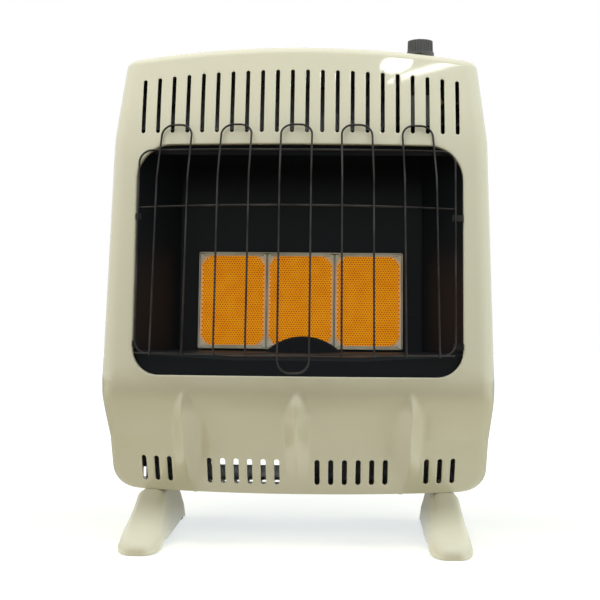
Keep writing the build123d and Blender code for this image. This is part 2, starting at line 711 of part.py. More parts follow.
# ---------------------------------------------------------------- burner
BOX_CORNER = 3.0
TRAY_OUT = (-17.5, -16.0)
PLAQUE_FACE = -1.0
PLAQUE_RIM = -1.6
FIELD = (86.0, 125.0)
FIELD_CHAMFER = 8.0
WINDOW = (80.0, 119.0)
PLAQUE_XS = (-PLAQUE_PITCH, 0.0, PLAQUE_PITCH)
VENTURI_X = -40.0
VENTURI_Z = 298.0
VENTURI_DEPTH = 196.0
VENTURI_RADIUS = 13.0
VENTURI_WALL = 1.2
ARM_SPOTS = [(side, up) for side in (-1, 1) for up in (-20.0, 20.0)]
ARM_OUT = -25.0

venturi_axis = Plane(origin=world(VENTURI_X, 170, VENTURI_Z), z_dir=(0, 1, 0))
with BuildPart() as burner_box:
    with BuildSketch(FIREBOX):
        RectangleRounded(2 * BOX_HALF, 2 * BOX_HALF_HEIGHT, BOX_CORNER)
    extrude(amount=-BOX_DEPTH)
    with BuildSketch(FIREBOX):
        RectangleRounded(2 * (BOX_HALF - BOX_WALL), 2 * (BOX_HALF_HEIGHT - BOX_WALL), BOX_CORNER - BOX_WALL)
    extrude(amount=-(BOX_DEPTH - BOX_WALL), mode=Mode.SUBTRACT)
    with BuildSketch(venturi_axis):
        Circle(VENTURI_RADIUS + 0.4)
    extrude(amount=20, mode=Mode.SUBTRACT)
    for side, up in ARM_SPOTS:
        with BuildSketch(Plane(origin=firebox_point(side * (BOX_HALF + 1), up, ARM_OUT), z_dir=(side, 0, 0))):
            Circle(SCREW_HOLE)
        extrude(amount=-4, mode=Mode.SUBTRACT)
burner_box.part.label = "burner_box"
export_step(burner_box.part, "parts/burner_box.step")

with BuildPart() as plaque_tray:
    with BuildSketch(FIREBOX.offset(TRAY_OUT[0])):
        RectangleRounded(2 * (BOX_HALF - BOX_WALL - 0.1), 2 * (BOX_HALF_HEIGHT - BOX_WALL - 0.1), 4)
        with Locations(*[(x, 0) for x in PLAQUE_XS]):
            Rectangle(*WINDOW, mode=Mode.SUBTRACT)
    extrude(amount=TRAY_OUT[1] - TRAY_OUT[0])
    with BuildSketch(FIREBOX.offset(TRAY_OUT[1] - 0.2)):
        with Locations((-PLAQUE_PITCH / 2, 0), (PLAQUE_PITCH / 2, 0)):
            Rectangle(1.5, PLAQUE_HEIGHT)
    extrude(amount=-TRAY_OUT[1] - 3.8)
plaque_tray.part.label = "plaque_tray"
export_step(plaque_tray.part, "parts/plaque_tray.step")


def plaque(x: float) -> Part:
    """Perforated ceramic plaque: a slab with a slightly proud radiant field with cut corners."""
    with BuildPart() as body:
        with BuildSketch(FIREBOX.offset(PLAQUE_FACE - PLAQUE_THICK)):
            with Locations((x, 0)):
                Rectangle(PLAQUE_WIDTH, PLAQUE_HEIGHT)
        extrude(amount=PLAQUE_THICK + PLAQUE_RIM - PLAQUE_FACE)
        with BuildSketch(FIREBOX.offset(PLAQUE_RIM - 0.2)) as field:
            with Locations((x, 0)):
                Rectangle(*FIELD)
            chamfer(field.vertices(), FIELD_CHAMFER)
        extrude(amount=PLAQUE_FACE - PLAQUE_RIM + 0.2)
    return body.part


with BuildPart() as ceramic_plaque_left:
    add(plaque(PLAQUE_XS[0]))
ceramic_plaque_left.part.label = "ceramic_plaque_left"
export_step(ceramic_plaque_left.part, "parts/ceramic_plaque_left.step")

with BuildPart() as ceramic_plaque_centre:
    add(plaque(PLAQUE_XS[1]))
ceramic_plaque_centre.part.label = "ceramic_plaque_centre"
export_step(ceramic_plaque_centre.part, "parts/ceramic_plaque_centre.step")

with BuildPart() as ceramic_plaque_right:
    add(plaque(PLAQUE_XS[2]))
ceramic_plaque_right.part.label = "ceramic_plaque_right"
export_step(ceramic_plaque_right.part, "parts/ceramic_plaque_right.step")

with BuildPart() as plaque_gaskets:
    with BuildSketch(FIREBOX.offset(TRAY_OUT[1])):
        with Locations(*[(x, 0) for x in PLAQUE_XS]):
            Rectangle(PLAQUE_WIDTH, PLAQUE_HEIGHT)
            Rectangle(*WINDOW, mode=Mode.SUBTRACT)
    extrude(amount=PLAQUE_FACE - PLAQUE_THICK - TRAY_OUT[1])
plaque_gaskets.part.label = "plaque_gaskets"
export_step(plaque_gaskets.part, "parts/plaque_gaskets.step")

CLIP_LENGTH = 84.0
CLIP_LEG = 0.7
with BuildPart() as plaque_clips:
    for x in PLAQUE_XS:
        for side in (-1, 1):
            foot_up = side * (PLAQUE_HEIGHT / 2 + 0.1 + CLIP_LEG / 2)
            lip_up = side * (PLAQUE_HEIGHT / 2 - 0.9)
            with BuildSketch(FIREBOX.offset(-12.0)):
                with Locations((x, foot_up)):
                    Rectangle(CLIP_LENGTH, CLIP_LEG)
            extrude(amount=12.0 + PLAQUE_RIM + 0.65)
            with BuildSketch(FIREBOX.offset(PLAQUE_RIM + 0.05)):
                with Locations((x, lip_up)):
                    Rectangle(CLIP_LENGTH, 3.4)
            extrude(amount=0.6)
plaque_clips.part.label = "plaque_clips"
export_step(plaque_clips.part, "parts/plaque_clips.step")

with BuildPart() as burner_brackets:
    with BuildSketch(floor_plane(-32)):
        path = [(BOX_HALF + 0.1, 38), (BOX_HALF + 0.1, 6.3), (BOX_HALF + 20, 6.3)]
        add(folded(path, BRACKET))
        mirror(about=Plane.YZ)
    extrude(amount=64)
    with BuildSketch(FIREBOX):
        with Locations(*BRACKET_SPOTS):
            Circle(SCREW_HOLE)
    extrude(amount=-20, mode=Mode.SUBTRACT)
    for side, up in ARM_SPOTS:
        with BuildSketch(Plane(origin=firebox_point(side * (BOX_HALF + 3), up, ARM_OUT), z_dir=(side, 0, 0))):
            Circle(SCREW_HOLE)
        extrude(amount=-4, mode=Mode.SUBTRACT)
burner_brackets.part.label = "burner_brackets"
export_step(burner_brackets.part, "parts/burner_brackets.step")

VENTURI_MOUTH = 176.0
venturi_route = [
    world(VENTURI_X, 173, VENTURI_Z),
    world(VENTURI_X, VENTURI_DEPTH, VENTURI_Z),
    world(VENTURI_MOUTH, VENTURI_DEPTH, VENTURI_Z),
]
with BuildPart() as venturi_tube:
    add(tube(venturi_route, [20.0], VENTURI_RADIUS, VENTURI_RADIUS - VENTURI_WALL))
    with BuildSketch(Plane(origin=venturi_route[-1], z_dir=(1, 0, 0))):
        Circle(VENTURI_RADIUS)
        Circle(VENTURI_RADIUS - VENTURI_WALL, mode=Mode.SUBTRACT)
    extrude(amount=10, taper=-14)
    with BuildSketch(FIREBOX.offset(-BOX_DEPTH - 1.6)):
        with Locations(FIREBOX.to_local_coords(world(VENTURI_X, 178, VENTURI_Z))):
            Circle(20.0)
            Circle(VENTURI_RADIUS - 0.3, mode=Mode.SUBTRACT)
    extrude(amount=1.5)
venturi_tube.part.label = "venturi_tube"
export_step(venturi_tube.part, "parts/venturi_tube.step")

# ---------------------------------------------------------------- guard
GUARD_LEAN = (GUARD_FRONT_HIGH - GUARD_FRONT_LOW) / (GUARD_HIGH_Z - GUARD_LOW_Z)
LOOPS = (  # outer wire's X at the foot, middle and top, then the inner wire's
    ((188.9, 184.5, 179.0), (145.0, 142.0, 139.0)),
    ((103.1, 101.5, 99.3), (61.5, 60.5, 59.3)),
)
CENTRE_LOOP = 20.4
LOOP_FOOT_Z = 255.0
LOOP_MIDDLE_Z = 490.0
CENTRE_FOOT_Z = 234.7
LOOP_BENDS = [40.0, 16.0, 16.0, 40.0]


def upright_depth(x: float, z: float) -> float:
    """Depth of an upright wire, which runs just in front of the cross wires."""
    sag = (x / GUARD_HALF) ** 2 * GUARD_SAG
    return GUARD_FRONT_LOW + (z - GUARD_LOW_Z) * GUARD_LEAN + sag - 2 * WIRE_RADIUS + 0.3


def loop_wire(outer: tuple, inner: tuple) -> Part:
    """Two uprights joined by an arch that bends back over the casing's face."""
    feet = [(x, LOOP_FOOT_Z) for x in (outer[0], inner[0])]
    middles = [(x, LOOP_MIDDLE_Z) for x in (outer[1], inner[1])]
    route = [world(feet[0][0], upright_depth(*feet[0]), feet[0][1])]
    route.append(world(middles[0][0], upright_depth(*middles[0]), middles[0][1]))
    route.append(world(outer[2], surface_depth(outer[2], LOOP_TOP_Z) - 3.5, LOOP_TOP_Z))
    route.append(world(inner[2], surface_depth(inner[2], LOOP_TOP_Z) - 3.5, LOOP_TOP_Z))
    route.append(world(middles[1][0], upright_depth(*middles[1]), middles[1][1]))
    route.append(world(feet[1][0], upright_depth(*feet[1]), feet[1][1]))
    return tube([point + Vector(GUARD_SHIFT, 0, 0) for point in route], LOOP_BENDS, WIRE_RADIUS)


with BuildPart() as guard_uprights:
    for outer_xs, inner_xs in LOOPS:
        add(loop_wire(outer_xs, inner_xs))
        add(loop_wire(tuple(-x for x in outer_xs), tuple(-x for x in inner_xs)))
    top_depth = surface_depth(CENTRE_LOOP, LOOP_TOP_Z) - 3.5
    with BuildLine() as centre_path:  # a closed ring
        corners = []
        for x in (-CENTRE_LOOP, CENTRE_LOOP):
            side = [world(x + GUARD_SHIFT, upright_depth(x, CENTRE_FOOT_Z), CENTRE_FOOT_Z)]
            side.append(world(x + GUARD_SHIFT, upright_depth(x, LOOP_MIDDLE_Z), LOOP_MIDDLE_Z))
            side.append(world(x + GUARD_SHIFT, top_depth, LOOP_TOP_Z))
            corners += side if x < 0 else list(reversed(side))
        FilletPolyline(*corners, radius=[16.0, 40.0, 16.0, 16.0, 40.0, 16.0], close=True)
    with BuildSketch(Plane(origin=centre_path.line @ 0, z_dir=centre_path.line % 0)):
        Circle(WIRE_RADIUS)
    sweep(path=centre_path.wire())
guard_uprights.part.label = "guard_uprights"
export_step(guard_uprights.part, "parts/guard_uprights.step")

with BuildPart() as guard_cross_wires:
    for z in (GUARD_LOW_Z, GUARD_HIGH_Z):
        front = GUARD_FRONT_LOW + (z - GUARD_LOW_Z) * GUARD_LEAN
        end = world(GUARD_HALF, front + GUARD_SAG, z)
        with BuildLine() as wire_path:
            ThreePointArc(Vector(-end.X + GUARD_SHIFT, end.Y, z), world(GUARD_SHIFT, front, z),
                          Vector(end.X + GUARD_SHIFT, end.Y, z))
        with BuildSketch(Plane(origin=wire_path.line @ 0, z_dir=wire_path.line % 0)):
            Circle(WIRE_RADIUS)
        sweep(path=wire_path.wire())
guard_cross_wires.part.label = "guard_cross_wires"
export_step(guard_cross_wires.part, "parts/guard_cross_wires.step")

FRAME_HALF = 210.0
FRAME_PROUD = 3.2  # the frame wire's centre stands this far in front of the casing
FRAME_BOW = 1000.0  # bend at the quarter points of the top and bottom rails
FRAME_CORNER = 17.0
with BuildPart() as guard_frame:
    with BuildLine() as frame_path:
        rails = []
        for z, order in ((GUARD_LOW_Z, 1), (GUARD_TOP_Z, -1)):
            level = front_depth(z) - FRAME_PROUD
            bow = FRAME_HALF**2 / FRONT_BOW
            for x, back in ((-FRAME_HALF, bow), (-FRAME_HALF / 2, 0), (FRAME_HALF / 2, 0), (FRAME_HALF, bow)):
                rails.append(world(order * x + GUARD_SHIFT, level + back, z))
        bends = [FRAME_CORNER, FRAME_BOW, FRAME_BOW, FRAME_CORNER]
        FilletPolyline(*rails, radius=bends + bends, close=True)
    with BuildSketch(Plane(origin=frame_path.line @ 0, z_dir=frame_path.line % 0)):
        Circle(WIRE_RADIUS)
    sweep(path=frame_path.wire())
guard_frame.part.label = "guard_frame"
export_step(guard_frame.part, "parts/guard_frame.step")

with BuildPart() as guard_clips:
    for z in (GUARD_LOW_Z + 12, GUARD_HIGH_Z - 12):
        for side in (-1, 1):
            wire_x = side * FRAME_HALF + GUARD_SHIFT
            wall_x = side * (OPENING_HALF - 0.1)
            face = surface_depth(FRAME_HALF, z) - FRAME_PROUD + WIRE_RADIUS + 0.05
            path = [(wall_x, y_at(face + 9.0)), (wall_x, y_at(face)), (wire_x - side * 4.0, y_at(face))]
            with BuildSketch(Plane.XY.offset(z - 4)):
                add(folded(path, BRACKET) if side < 0 else folded(list(reversed(path)), BRACKET))
            extrude(amount=8)
guard_clips.part.label = "guard_clips"
export_step(guard_clips.part, "parts/guard_clips.step")

# ---------------------------------------------------------------- gas valve and knob
SHELF_Z = 567.2
SHELF_DEPTHS = (76.0, 155.0)
SHELF_INNER_X = 112.0
VALVE_X = (140.0, 186.0)
VALVE_DEPTHS = (90.0, 130.0)
VALVE_TOP = 612.0
PLUG_Z = (584.0, 607.0)
PLUG_RADIUS = 8.0
SLEEVE_RADIUS = 6.5
SLEEVE_TOP = 622.0
SOCKET_FLOOR = 602.0
BONNET_TOP = 630.0
BONNET_RADIUS = 14.0
SPINDLE_Z = (608.0, 683.0)
FLAT = 3.0  # distance of the spindle's flat from its axis
COLLAR_Z = (646.0, 647.5)
COLLAR_RADIUS = 7.5
BURNER_PORT = (152.0, 592.0)
PILOT_PORT = (170.0, 583.0)
COUPLE_PORT = (178.0, 600.0)
PORT_DEPTH = 8.0
NUT_FACE = VALVE_DEPTHS[1] + 0.1

with BuildPart() as valve_shelf:
    with BuildSketch(Plane.XZ.offset(-y_at(SHELF_DEPTHS[1]))):
        path = [(PLATE_END, 543), (PLATE_END, SHELF_Z), (SHELF_INNER_X, SHELF_Z), (SHELF_INNER_X, 560)]
        add(folded(path, BRACKET, BEND + BRACKET))
    extrude(amount=SHELF_DEPTHS[1] - SHELF_DEPTHS[0])
    add(side_holes, mode=Mode.SUBTRACT)
valve_shelf.part.label = "valve_shelf"
export_step(valve_shelf.part, "parts/valve_shelf.step")

with BuildPart() as valve_body:
    with BuildSketch(Plane.XY.offset(SHELF_Z + 0.1)):
        with Locations(((VALVE_X[0] + VALVE_X[1]) / 2, y_at(KNOB_DEPTH))):
            Rectangle(VALVE_X[1] - VALVE_X[0], VALVE_DEPTHS[1] - VALVE_DEPTHS[0])
    extrude(amount=VALVE_TOP - SHELF_Z - 0.1)
    fillet(valve_body.edges().filter_by(Axis.Z), 5)
    chamfer(valve_body.edges().group_by(Axis.Z)[-1], 1.5)
    with BuildSketch(Plane.XY.offset(PLUG_Z[0] - 0.5)):
        with Locations((KNOB_X, y_at(KNOB_DEPTH))):
            Circle(PLUG_RADIUS + RUNNING_FIT)
    extrude(amount=VALVE_TOP, mode=Mode.SUBTRACT)
    with BuildSketch(Plane.XZ.offset(-y_at(VALVE_DEPTHS[1]))):
        with Locations(BURNER_PORT, PILOT_PORT, COUPLE_PORT):
            Circle(2.0)
    extrude(amount=PORT_DEPTH, mode=Mode.SUBTRACT)
valve_body.part.label = "valve_body"
export_step(valve_body.part, "parts/valve_body.step")

with BuildPart() as valve_bonnet:
    add(disc(KNOB_X, KNOB_DEPTH, VALVE_TOP + 0.1, BONNET_TOP, BONNET_RADIUS, SLEEVE_RADIUS + RUNNING_FIT))
    add(disc(KNOB_X, KNOB_DEPTH, SLEEVE_TOP + 0.5, BONNET_TOP, BONNET_RADIUS, SPINDLE_RADIUS + 0.2))
    chamfer(valve_bonnet.edges().group_by(Axis.Z)[-1].sort_by(SortBy.LENGTH)[-1], 1.5)
valve_bonnet.part.label = "valve_bonnet"
export_step(valve_bonnet.part, "parts/valve_bonnet.step")


def flatted(low: float, high: float, radius: float, flat: float) -> Part:
    """Shaft of D section between two heights."""
    with BuildPart() as body:
        with BuildSketch(Plane.XY.offset(low)):
            with Locations((KNOB_X, y_at(KNOB_DEPTH))):
                Circle(radius)
            with Locations((KNOB_X + flat + radius, y_at(KNOB_DEPTH))):
                Rectangle(2 * radius, 2 * radius, mode=Mode.SUBTRACT)
        extrude(amount=high - low)
    return body.part


with BuildPart() as valve_plug:
    add(disc(KNOB_X, KNOB_DEPTH, PLUG_Z[0], PLUG_Z[1], PLUG_RADIUS))
    add(disc(KNOB_X, KNOB_DEPTH, PLUG_Z[1], SLEEVE_TOP, SLEEVE_RADIUS))
    socket = flatted(SOCKET_FLOOR, SLEEVE_TOP + 1, SPINDLE_RADIUS + RUNNING_FIT, FLAT + RUNNING_FIT)
    add(socket, mode=Mode.SUBTRACT)
    with BuildSketch(Plane.XZ.offset(-y_at(KNOB_DEPTH))):  # gas way across the plug
        with Locations((KNOB_X, BURNER_PORT[1])):
            Circle(2.0)
    extrude(amount=PLUG_RADIUS * 2, both=True, mode=Mode.SUBTRACT)
valve_plug.part.label = "valve_plug"
export_step(valve_plug.part, "parts/valve_plug.step")

with BuildPart() as knob_spindle:
    add(flatted(SPINDLE_Z[0], SPINDLE_Z[1], SPINDLE_RADIUS, FLAT))
    chamfer(knob_spindle.edges().group_by(Axis.Z)[0], 0.5)
knob_spindle.part.label = "knob_spindle"
export_step(knob_spindle.part, "parts/knob_spindle.step")

with BuildPart() as spindle_collar:
    add(disc(KNOB_X, KNOB_DEPTH, COLLAR_Z[0], COLLAR_Z[1], COLLAR_RADIUS, SPINDLE_RADIUS + 0.02))
spindle_collar.part.label = "spindle_collar"
export_step(spindle_collar.part, "parts/spindle_collar.step")

SPRING_WIRE = 0.6
SPRING_RADIUS = 5.6
SPRING_TURNS = 5
spring_low = BONNET_TOP + SPRING_WIRE + 0.1
spring_rise = COLLAR_Z[0] - BONNET_TOP - 2 * SPRING_WIRE - 0.2
with BuildPart() as knob_spring:
    with BuildLine() as coil:
        Helix(
            pitch=spring_rise / SPRING_TURNS,
            height=spring_rise,
            radius=SPRING_RADIUS,
            center=world(KNOB_X, KNOB_DEPTH, spring_low),
        )
    with BuildSketch(Plane(origin=coil.line @ 0, z_dir=coil.line % 0)):
        Circle(SPRING_WIRE)
    sweep(path=coil.wire())
knob_spring.part.label = "knob_spring"
export_step(knob_spring.part, "parts/knob_spring.step")

KNOB_RIBS = 30
GRIP_RADIUS = 16.6
with BuildPart() as control_knob:
    add(disc(KNOB_X, KNOB_DEPTH, KNOB_BOTTOM, KNOB_BOTTOM + 3, KNOB_RADIUS))
    with BuildSketch(Plane.XY.offset(KNOB_BOTTOM + 3)):
        with Locations((KNOB_X, y_at(KNOB_DEPTH))):
            Circle(GRIP_RADIUS)
            with PolarLocations(GRIP_RADIUS, KNOB_RIBS):
                Circle(1.1)
    extrude(amount=KNOB_TOP - KNOB_BOTTOM - 3, taper=2)
    with BuildSketch(Plane.XY.offset(KNOB_TOP)):
        with Locations((KNOB_X, y_at(KNOB_DEPTH))):
            Circle(GRIP_RADIUS - 4)
    extrude(amount=-0.8, mode=Mode.SUBTRACT)
    with BuildSketch(Plane.XY.offset(KNOB_TOP - 0.8)):  # pointer towards the OFF side
        with Locations((KNOB_X, y_at(KNOB_DEPTH) - 6)):
            Rectangle(2.0, 11.0)
    extrude(amount=0.8)
    add(flatted(KNOB_BOTTOM - 1, SPINDLE_Z[1] + 0.5, SPINDLE_RADIUS + 0.02, FLAT + 0.02), mode=Mode.SUBTRACT)
control_knob.part.label = "control_knob"
export_step(control_knob.part, "parts/control_knob.step")

# ---------------------------------------------------------------- gas train
REGULATOR_X = (150.0, 195.0)
REGULATOR_DEPTHS = (165.0, 215.0)
REGULATOR_Z = (94.4, 130.0)
REGULATOR_CENTRE = ((REGULATOR_X[0] + REGULATOR_X[1]) / 2, sum(REGULATOR_DEPTHS) / 2)
SUPPLY_DEPTH = 182.0
SUPPLY_X = 222.0
SUPPLY_RADIUS = 4.75
SUPPLY_Z = 604.0
HOLDER_X = 206.0
INJECTOR_Z = VENTURI_Z
THIN_PIPE = 2.0
BURNER_PIPE = 3.2

with BuildPart() as regulator_bracket:
    with BuildSketch(Plane.XZ.offset(-y_at(208))):
        path = [(182, 71.3), (190, 71.3), (190, 94.2), (152, 94.2), (152, 71.3), (160, 71.3)]
        add(folded(path, BRACKET))
    extrude(amount=36)
regulator_bracket.part.label = "regulator_bracket"
export_step(regulator_bracket.part, "parts/regulator_bracket.step")

with BuildPart() as regulator_body:
    with BuildSketch(Plane.XY.offset(REGULATOR_Z[0])):
        with Locations((REGULATOR_CENTRE[0], y_at(REGULATOR_CENTRE[1]))):
            RectangleRounded(REGULATOR_X[1] - REGULATOR_X[0], REGULATOR_DEPTHS[1] - REGULATOR_DEPTHS[0], 8)
    extrude(amount=REGULATOR_Z[1] - REGULATOR_Z[0])
    chamfer(regulator_body.edges().group_by(Axis.Z)[-1], 2)
    with BuildSketch(Plane.XZ.offset(-y_at(REGULATOR_DEPTHS[1]))):
        with Locations((INLET_X, INLET_Z)):
            Circle(4.0)
    extrude(amount=12, mode=Mode.SUBTRACT)
    with BuildSketch(Plane(origin=world(REGULATOR_X[1], SUPPLY_DEPTH, INLET_Z), z_dir=(1, 0, 0))):
        Circle(3.5)
    extrude(amount=-10, mode=Mode.SUBTRACT)
regulator_body.part.label = "regulator_body"
export_step(regulator_body.part, "parts/regulator_body.step")

with BuildPart() as regulator_cap:
    add(disc(*REGULATOR_CENTRE, REGULATOR_Z[1] + 0.1, REGULATOR_Z[1] + 6, 20.0))
    add(disc(*REGULATOR_CENTRE, REGULATOR_Z[1] + 6, REGULATOR_Z[1] + 16, 9.0))
    fillet(regulator_cap.edges().group_by(Axis.Z)[-1], 2)
regulator_cap.part.label = "regulator_cap"
export_step(regulator_cap.part, "parts/regulator_cap.step")

INLET_RADIUS = 8.0
INLET_END = 247.0
with BuildPart() as inlet_fitting:
    with BuildSketch(Plane(origin=world(INLET_X, REGULATOR_DEPTHS[1] + 0.1, INLET_Z), z_dir=(0, 1, 0))):
        Circle(INLET_RADIUS)
    extrude(amount=INLET_END - REGULATOR_DEPTHS[1] - 0.1)
    chamfer(inlet_fitting.edges().group_by(Axis.Y)[-1], 1)
    with BuildSketch(Plane(origin=world(INLET_X, REGULATOR_DEPTHS[1] + 2, INLET_Z), z_dir=(0, 1, 0))):
        RegularPolygon(11.0, 6)
    extrude(amount=9)
    with BuildSketch(Plane(origin=world(INLET_X, REGULATOR_DEPTHS[1] + 2, INLET_Z), z_dir=(0, 1, 0))):
        Circle(INLET_RADIUS + 1.5)  # shoulder that ends the thread just behind the panel
    extrude(amount=PANEL_DEPTH + 1.2 - REGULATOR_DEPTHS[1] - 2)
    with BuildSketch(Plane(origin=world(INLET_X, REGULATOR_DEPTHS[1], INLET_Z), z_dir=(0, 1, 0))):
        Circle(4.0)
    extrude(amount=INLET_END, mode=Mode.SUBTRACT)
inlet_fitting.part.label = "inlet_fitting"
export_step(inlet_fitting.part, "parts/inlet_fitting.step")

supply_route = [
    world(REGULATOR_X[1] + 0.1, SUPPLY_DEPTH, INLET_Z),
    world(SUPPLY_X, SUPPLY_DEPTH, INLET_Z),
    world(SUPPLY_X, SUPPLY_DEPTH, SUPPLY_Z),
    world(SUPPLY_X, KNOB_DEPTH, SUPPLY_Z),
    world(VALVE_X[1] + 0.1, KNOB_DEPTH, SUPPLY_Z),
]
with BuildPart() as supply_pipe:
    add(tube(supply_route, [18.0] * 3, SUPPLY_RADIUS, SUPPLY_RADIUS - 1))
supply_pipe.part.label = "supply_pipe"
export_step(supply_pipe.part, "parts/supply_pipe.step")

burner_route = [
    world(BURNER_PORT[0], NUT_FACE, BURNER_PORT[1]),
    world(BURNER_PORT[0], VENTURI_DEPTH, BURNER_PORT[1]),
    world(HOLDER_X, VENTURI_DEPTH, BURNER_PORT[1]),
    world(HOLDER_X, VENTURI_DEPTH, INJECTOR_Z + 14.2),
]
with BuildPart() as burner_pipe:
    add(tube(burner_route, [16.0] * 2, BURNER_PIPE, BURNER_PIPE - 0.8))
burner_pipe.part.label = "burner_pipe"
export_step(burner_pipe.part, "parts/burner_pipe.step")

HOLDER_HALF = 8.5
HOLDER_TAB_DEPTH = 201.5
with BuildPart() as injector_holder:
    with BuildSketch(Plane.XY.offset(INJECTOR_Z - 12)):
        with Locations((HOLDER_X, y_at(VENTURI_DEPTH))):
            RectangleRounded(2 * HOLDER_HALF, 2 * HOLDER_HALF, 2)
    extrude(amount=26)
    with BuildSketch(Plane.XY.offset(INJECTOR_Z - 10)):
        with Locations(((HOLDER_X + PLATE_END) / 2 + 3, y_at(HOLDER_TAB_DEPTH + 0.6))):
            Rectangle(PLATE_END - HOLDER_X - 6, BRACKET)
        with Locations((PLATE_END - BRACKET / 2, y_at(HOLDER_TAB_DEPTH + 6))):
            Rectangle(BRACKET, 12)
    extrude(amount=20)
    with BuildSketch(Plane.XY.offset(INJECTOR_Z + 14)):
        with Locations((HOLDER_X, y_at(VENTURI_DEPTH))):
            Circle(2.2)
    extrude(amount=-14, mode=Mode.SUBTRACT)
    with BuildSketch(Plane(origin=world(HOLDER_X - HOLDER_HALF, VENTURI_DEPTH, INJECTOR_Z), z_dir=(1, 0, 0))):
        Circle(4.02)
    extrude(amount=9, mode=Mode.SUBTRACT)
injector_holder.part.label = "injector_holder"
export_step(injector_holder.part, "parts/injector_holder.step")

with BuildPart() as injector:
    seat = world(HOLDER_X - HOLDER_HALF - 0.1, VENTURI_DEPTH, INJECTOR_Z)
    with BuildSketch(Plane(origin=seat, z_dir=(-1, 0, 0))):
        RegularPolygon(5.5, 6)
    extrude(amount=6)
    with BuildSketch(Plane(origin=seat, z_dir=(-1, 0, 0))):
        Circle(3.5)
    extrude(amount=12, taper=6)
    with BuildSketch(Plane(origin=seat, z_dir=(1, 0, 0))):
        Circle(4.0)
    extrude(amount=6)
    with BuildSketch(Plane(origin=seat + Vector(10, 0, 0), z_dir=(-1, 0, 0))):
        Circle(0.8)
    extrude(amount=40, mode=Mode.SUBTRACT)
injector.part.label = "injector"
export_step(injector.part, "parts/injector.step")

# Pilot group, behind the shield and in front of the burner's lower edge
PILOT_OUT = 8.0
PILOT_X = 8.0
COUPLE_X = -8.0
SPARK_X = 20.0
SHELF_UP = -96.8  # top of the pilot bracket's shelf
PILOT_BRACKET_X = (-24.0, 28.0)


def upright(x: float, low: float, high: float, radius: float, sides: int = 0) -> Part:
    """Cylinder or hexagon standing in the firebox frame on the pilot group's line."""
    with BuildPart() as body:
        with BuildSketch(floor_plane(low)):
            with Locations((x, -PILOT_OUT)):
                if sides:
                    RegularPolygon(radius, sides)
                else:
                    Circle(radius)
        extrude(amount=high - low)
    return body.part


with BuildPart() as pilot_bracket:
    bracket_origin = firebox_point(PILOT_BRACKET_X[0], 0, 0)
    with BuildSketch(Plane(origin=bracket_origin, x_dir=SECTION.x_dir, z_dir=(-1, 0, 0))):
        add(folded([(17, SHELF_UP), (-6.3, SHELF_UP), (-6.3, -69)], BRACKET))
    extrude(amount=-(PILOT_BRACKET_X[1] - PILOT_BRACKET_X[0]))
    add(upright(COUPLE_X, SHELF_UP - 5, SHELF_UP + 5, 2.5), mode=Mode.SUBTRACT)
    add(upright(SPARK_X, SHELF_UP - 5, SHELF_UP + 5, 3.3), mode=Mode.SUBTRACT)
    add(upright(PILOT_X, SHELF_UP - 5, SHELF_UP + 5, THIN_PIPE + 0.3), mode=Mode.SUBTRACT)
    with BuildSketch(FIREBOX):
        with Locations(*PILOT_SPOTS):
            Circle(SCREW_HOLE)
    extrude(amount=-20, mode=Mode.SUBTRACT)
pilot_bracket.part.label = "pilot_bracket"
export_step(pilot_bracket.part, "parts/pilot_bracket.step")

with BuildPart() as pilot_burner:
    add(upright(PILOT_X, SHELF_UP + 0.1, SHELF_UP + 7, 5.5, 6))
    add(upright(PILOT_X, SHELF_UP + 7, -62, 4.2))
    add(upright(PILOT_X, -62, -58, 5.2))
    add(upright(PILOT_X, SHELF_UP, -64, THIN_PIPE), mode=Mode.SUBTRACT)
    with BuildSketch(FIREBOX.offset(-CUTTER / 40)):
        with Locations((PILOT_X, -65)):
            SlotOverall(5.0, 2.0)
    extrude(amount=CUTTER / 20, mode=Mode.SUBTRACT)
pilot_burner.part.label = "pilot_burner"
export_step(pilot_burner.part, "parts/pilot_burner.step")

COUPLE_LEAD = 1.2
SPARK_LEAD = 1.5
COUPLE_RUN = (217.5, 200.0)  # depth and height of the long run across the back
SPARK_RUN = (214.0, 190.0)
SPARK_POST_X = 190.0
SPARK_TOP = 600.0
PIEZO_X = 126.0
PIEZO_RADIUS = 8.0
couple_foot = firebox_point(COUPLE_X, -104, PILOT_OUT)
spark_foot = firebox_point(SPARK_X, -104, PILOT_OUT)
couple_route = [
    couple_foot,
    Vector(couple_foot.X, couple_foot.Y, COUPLE_RUN[1]),
    world(couple_foot.X, COUPLE_RUN[0], COUPLE_RUN[1]),
    world(COUPLE_PORT[0], COUPLE_RUN[0], COUPLE_RUN[1]),
    world(COUPLE_PORT[0], COUPLE_RUN[0], COUPLE_PORT[1]),
    world(COUPLE_PORT[0], NUT_FACE, COUPLE_PORT[1]),
]
couple_bends = [26.0, 40.0, 60.0, 30.0]
with BuildPart() as thermocouple:
    add(upright(COUPLE_X, -104, -57, 2.4))
    add(upright(COUPLE_X, SHELF_UP + 0.1, SHELF_UP + 5, 4.5, 6))
    add(tube(couple_route, couple_bends, COUPLE_LEAD))
thermocouple.part.label = "thermocouple"
export_step(thermocouple.part, "parts/thermocouple.step")

with BuildPart() as ignition_electrode:
    add(upright(SPARK_X, -104, -68, 3.2))
    add(upright(SPARK_X, -68, -59, 1.0))
ignition_electrode.part.label = "ignition_electrode"
export_step(ignition_electrode.part, "parts/ignition_electrode.step")

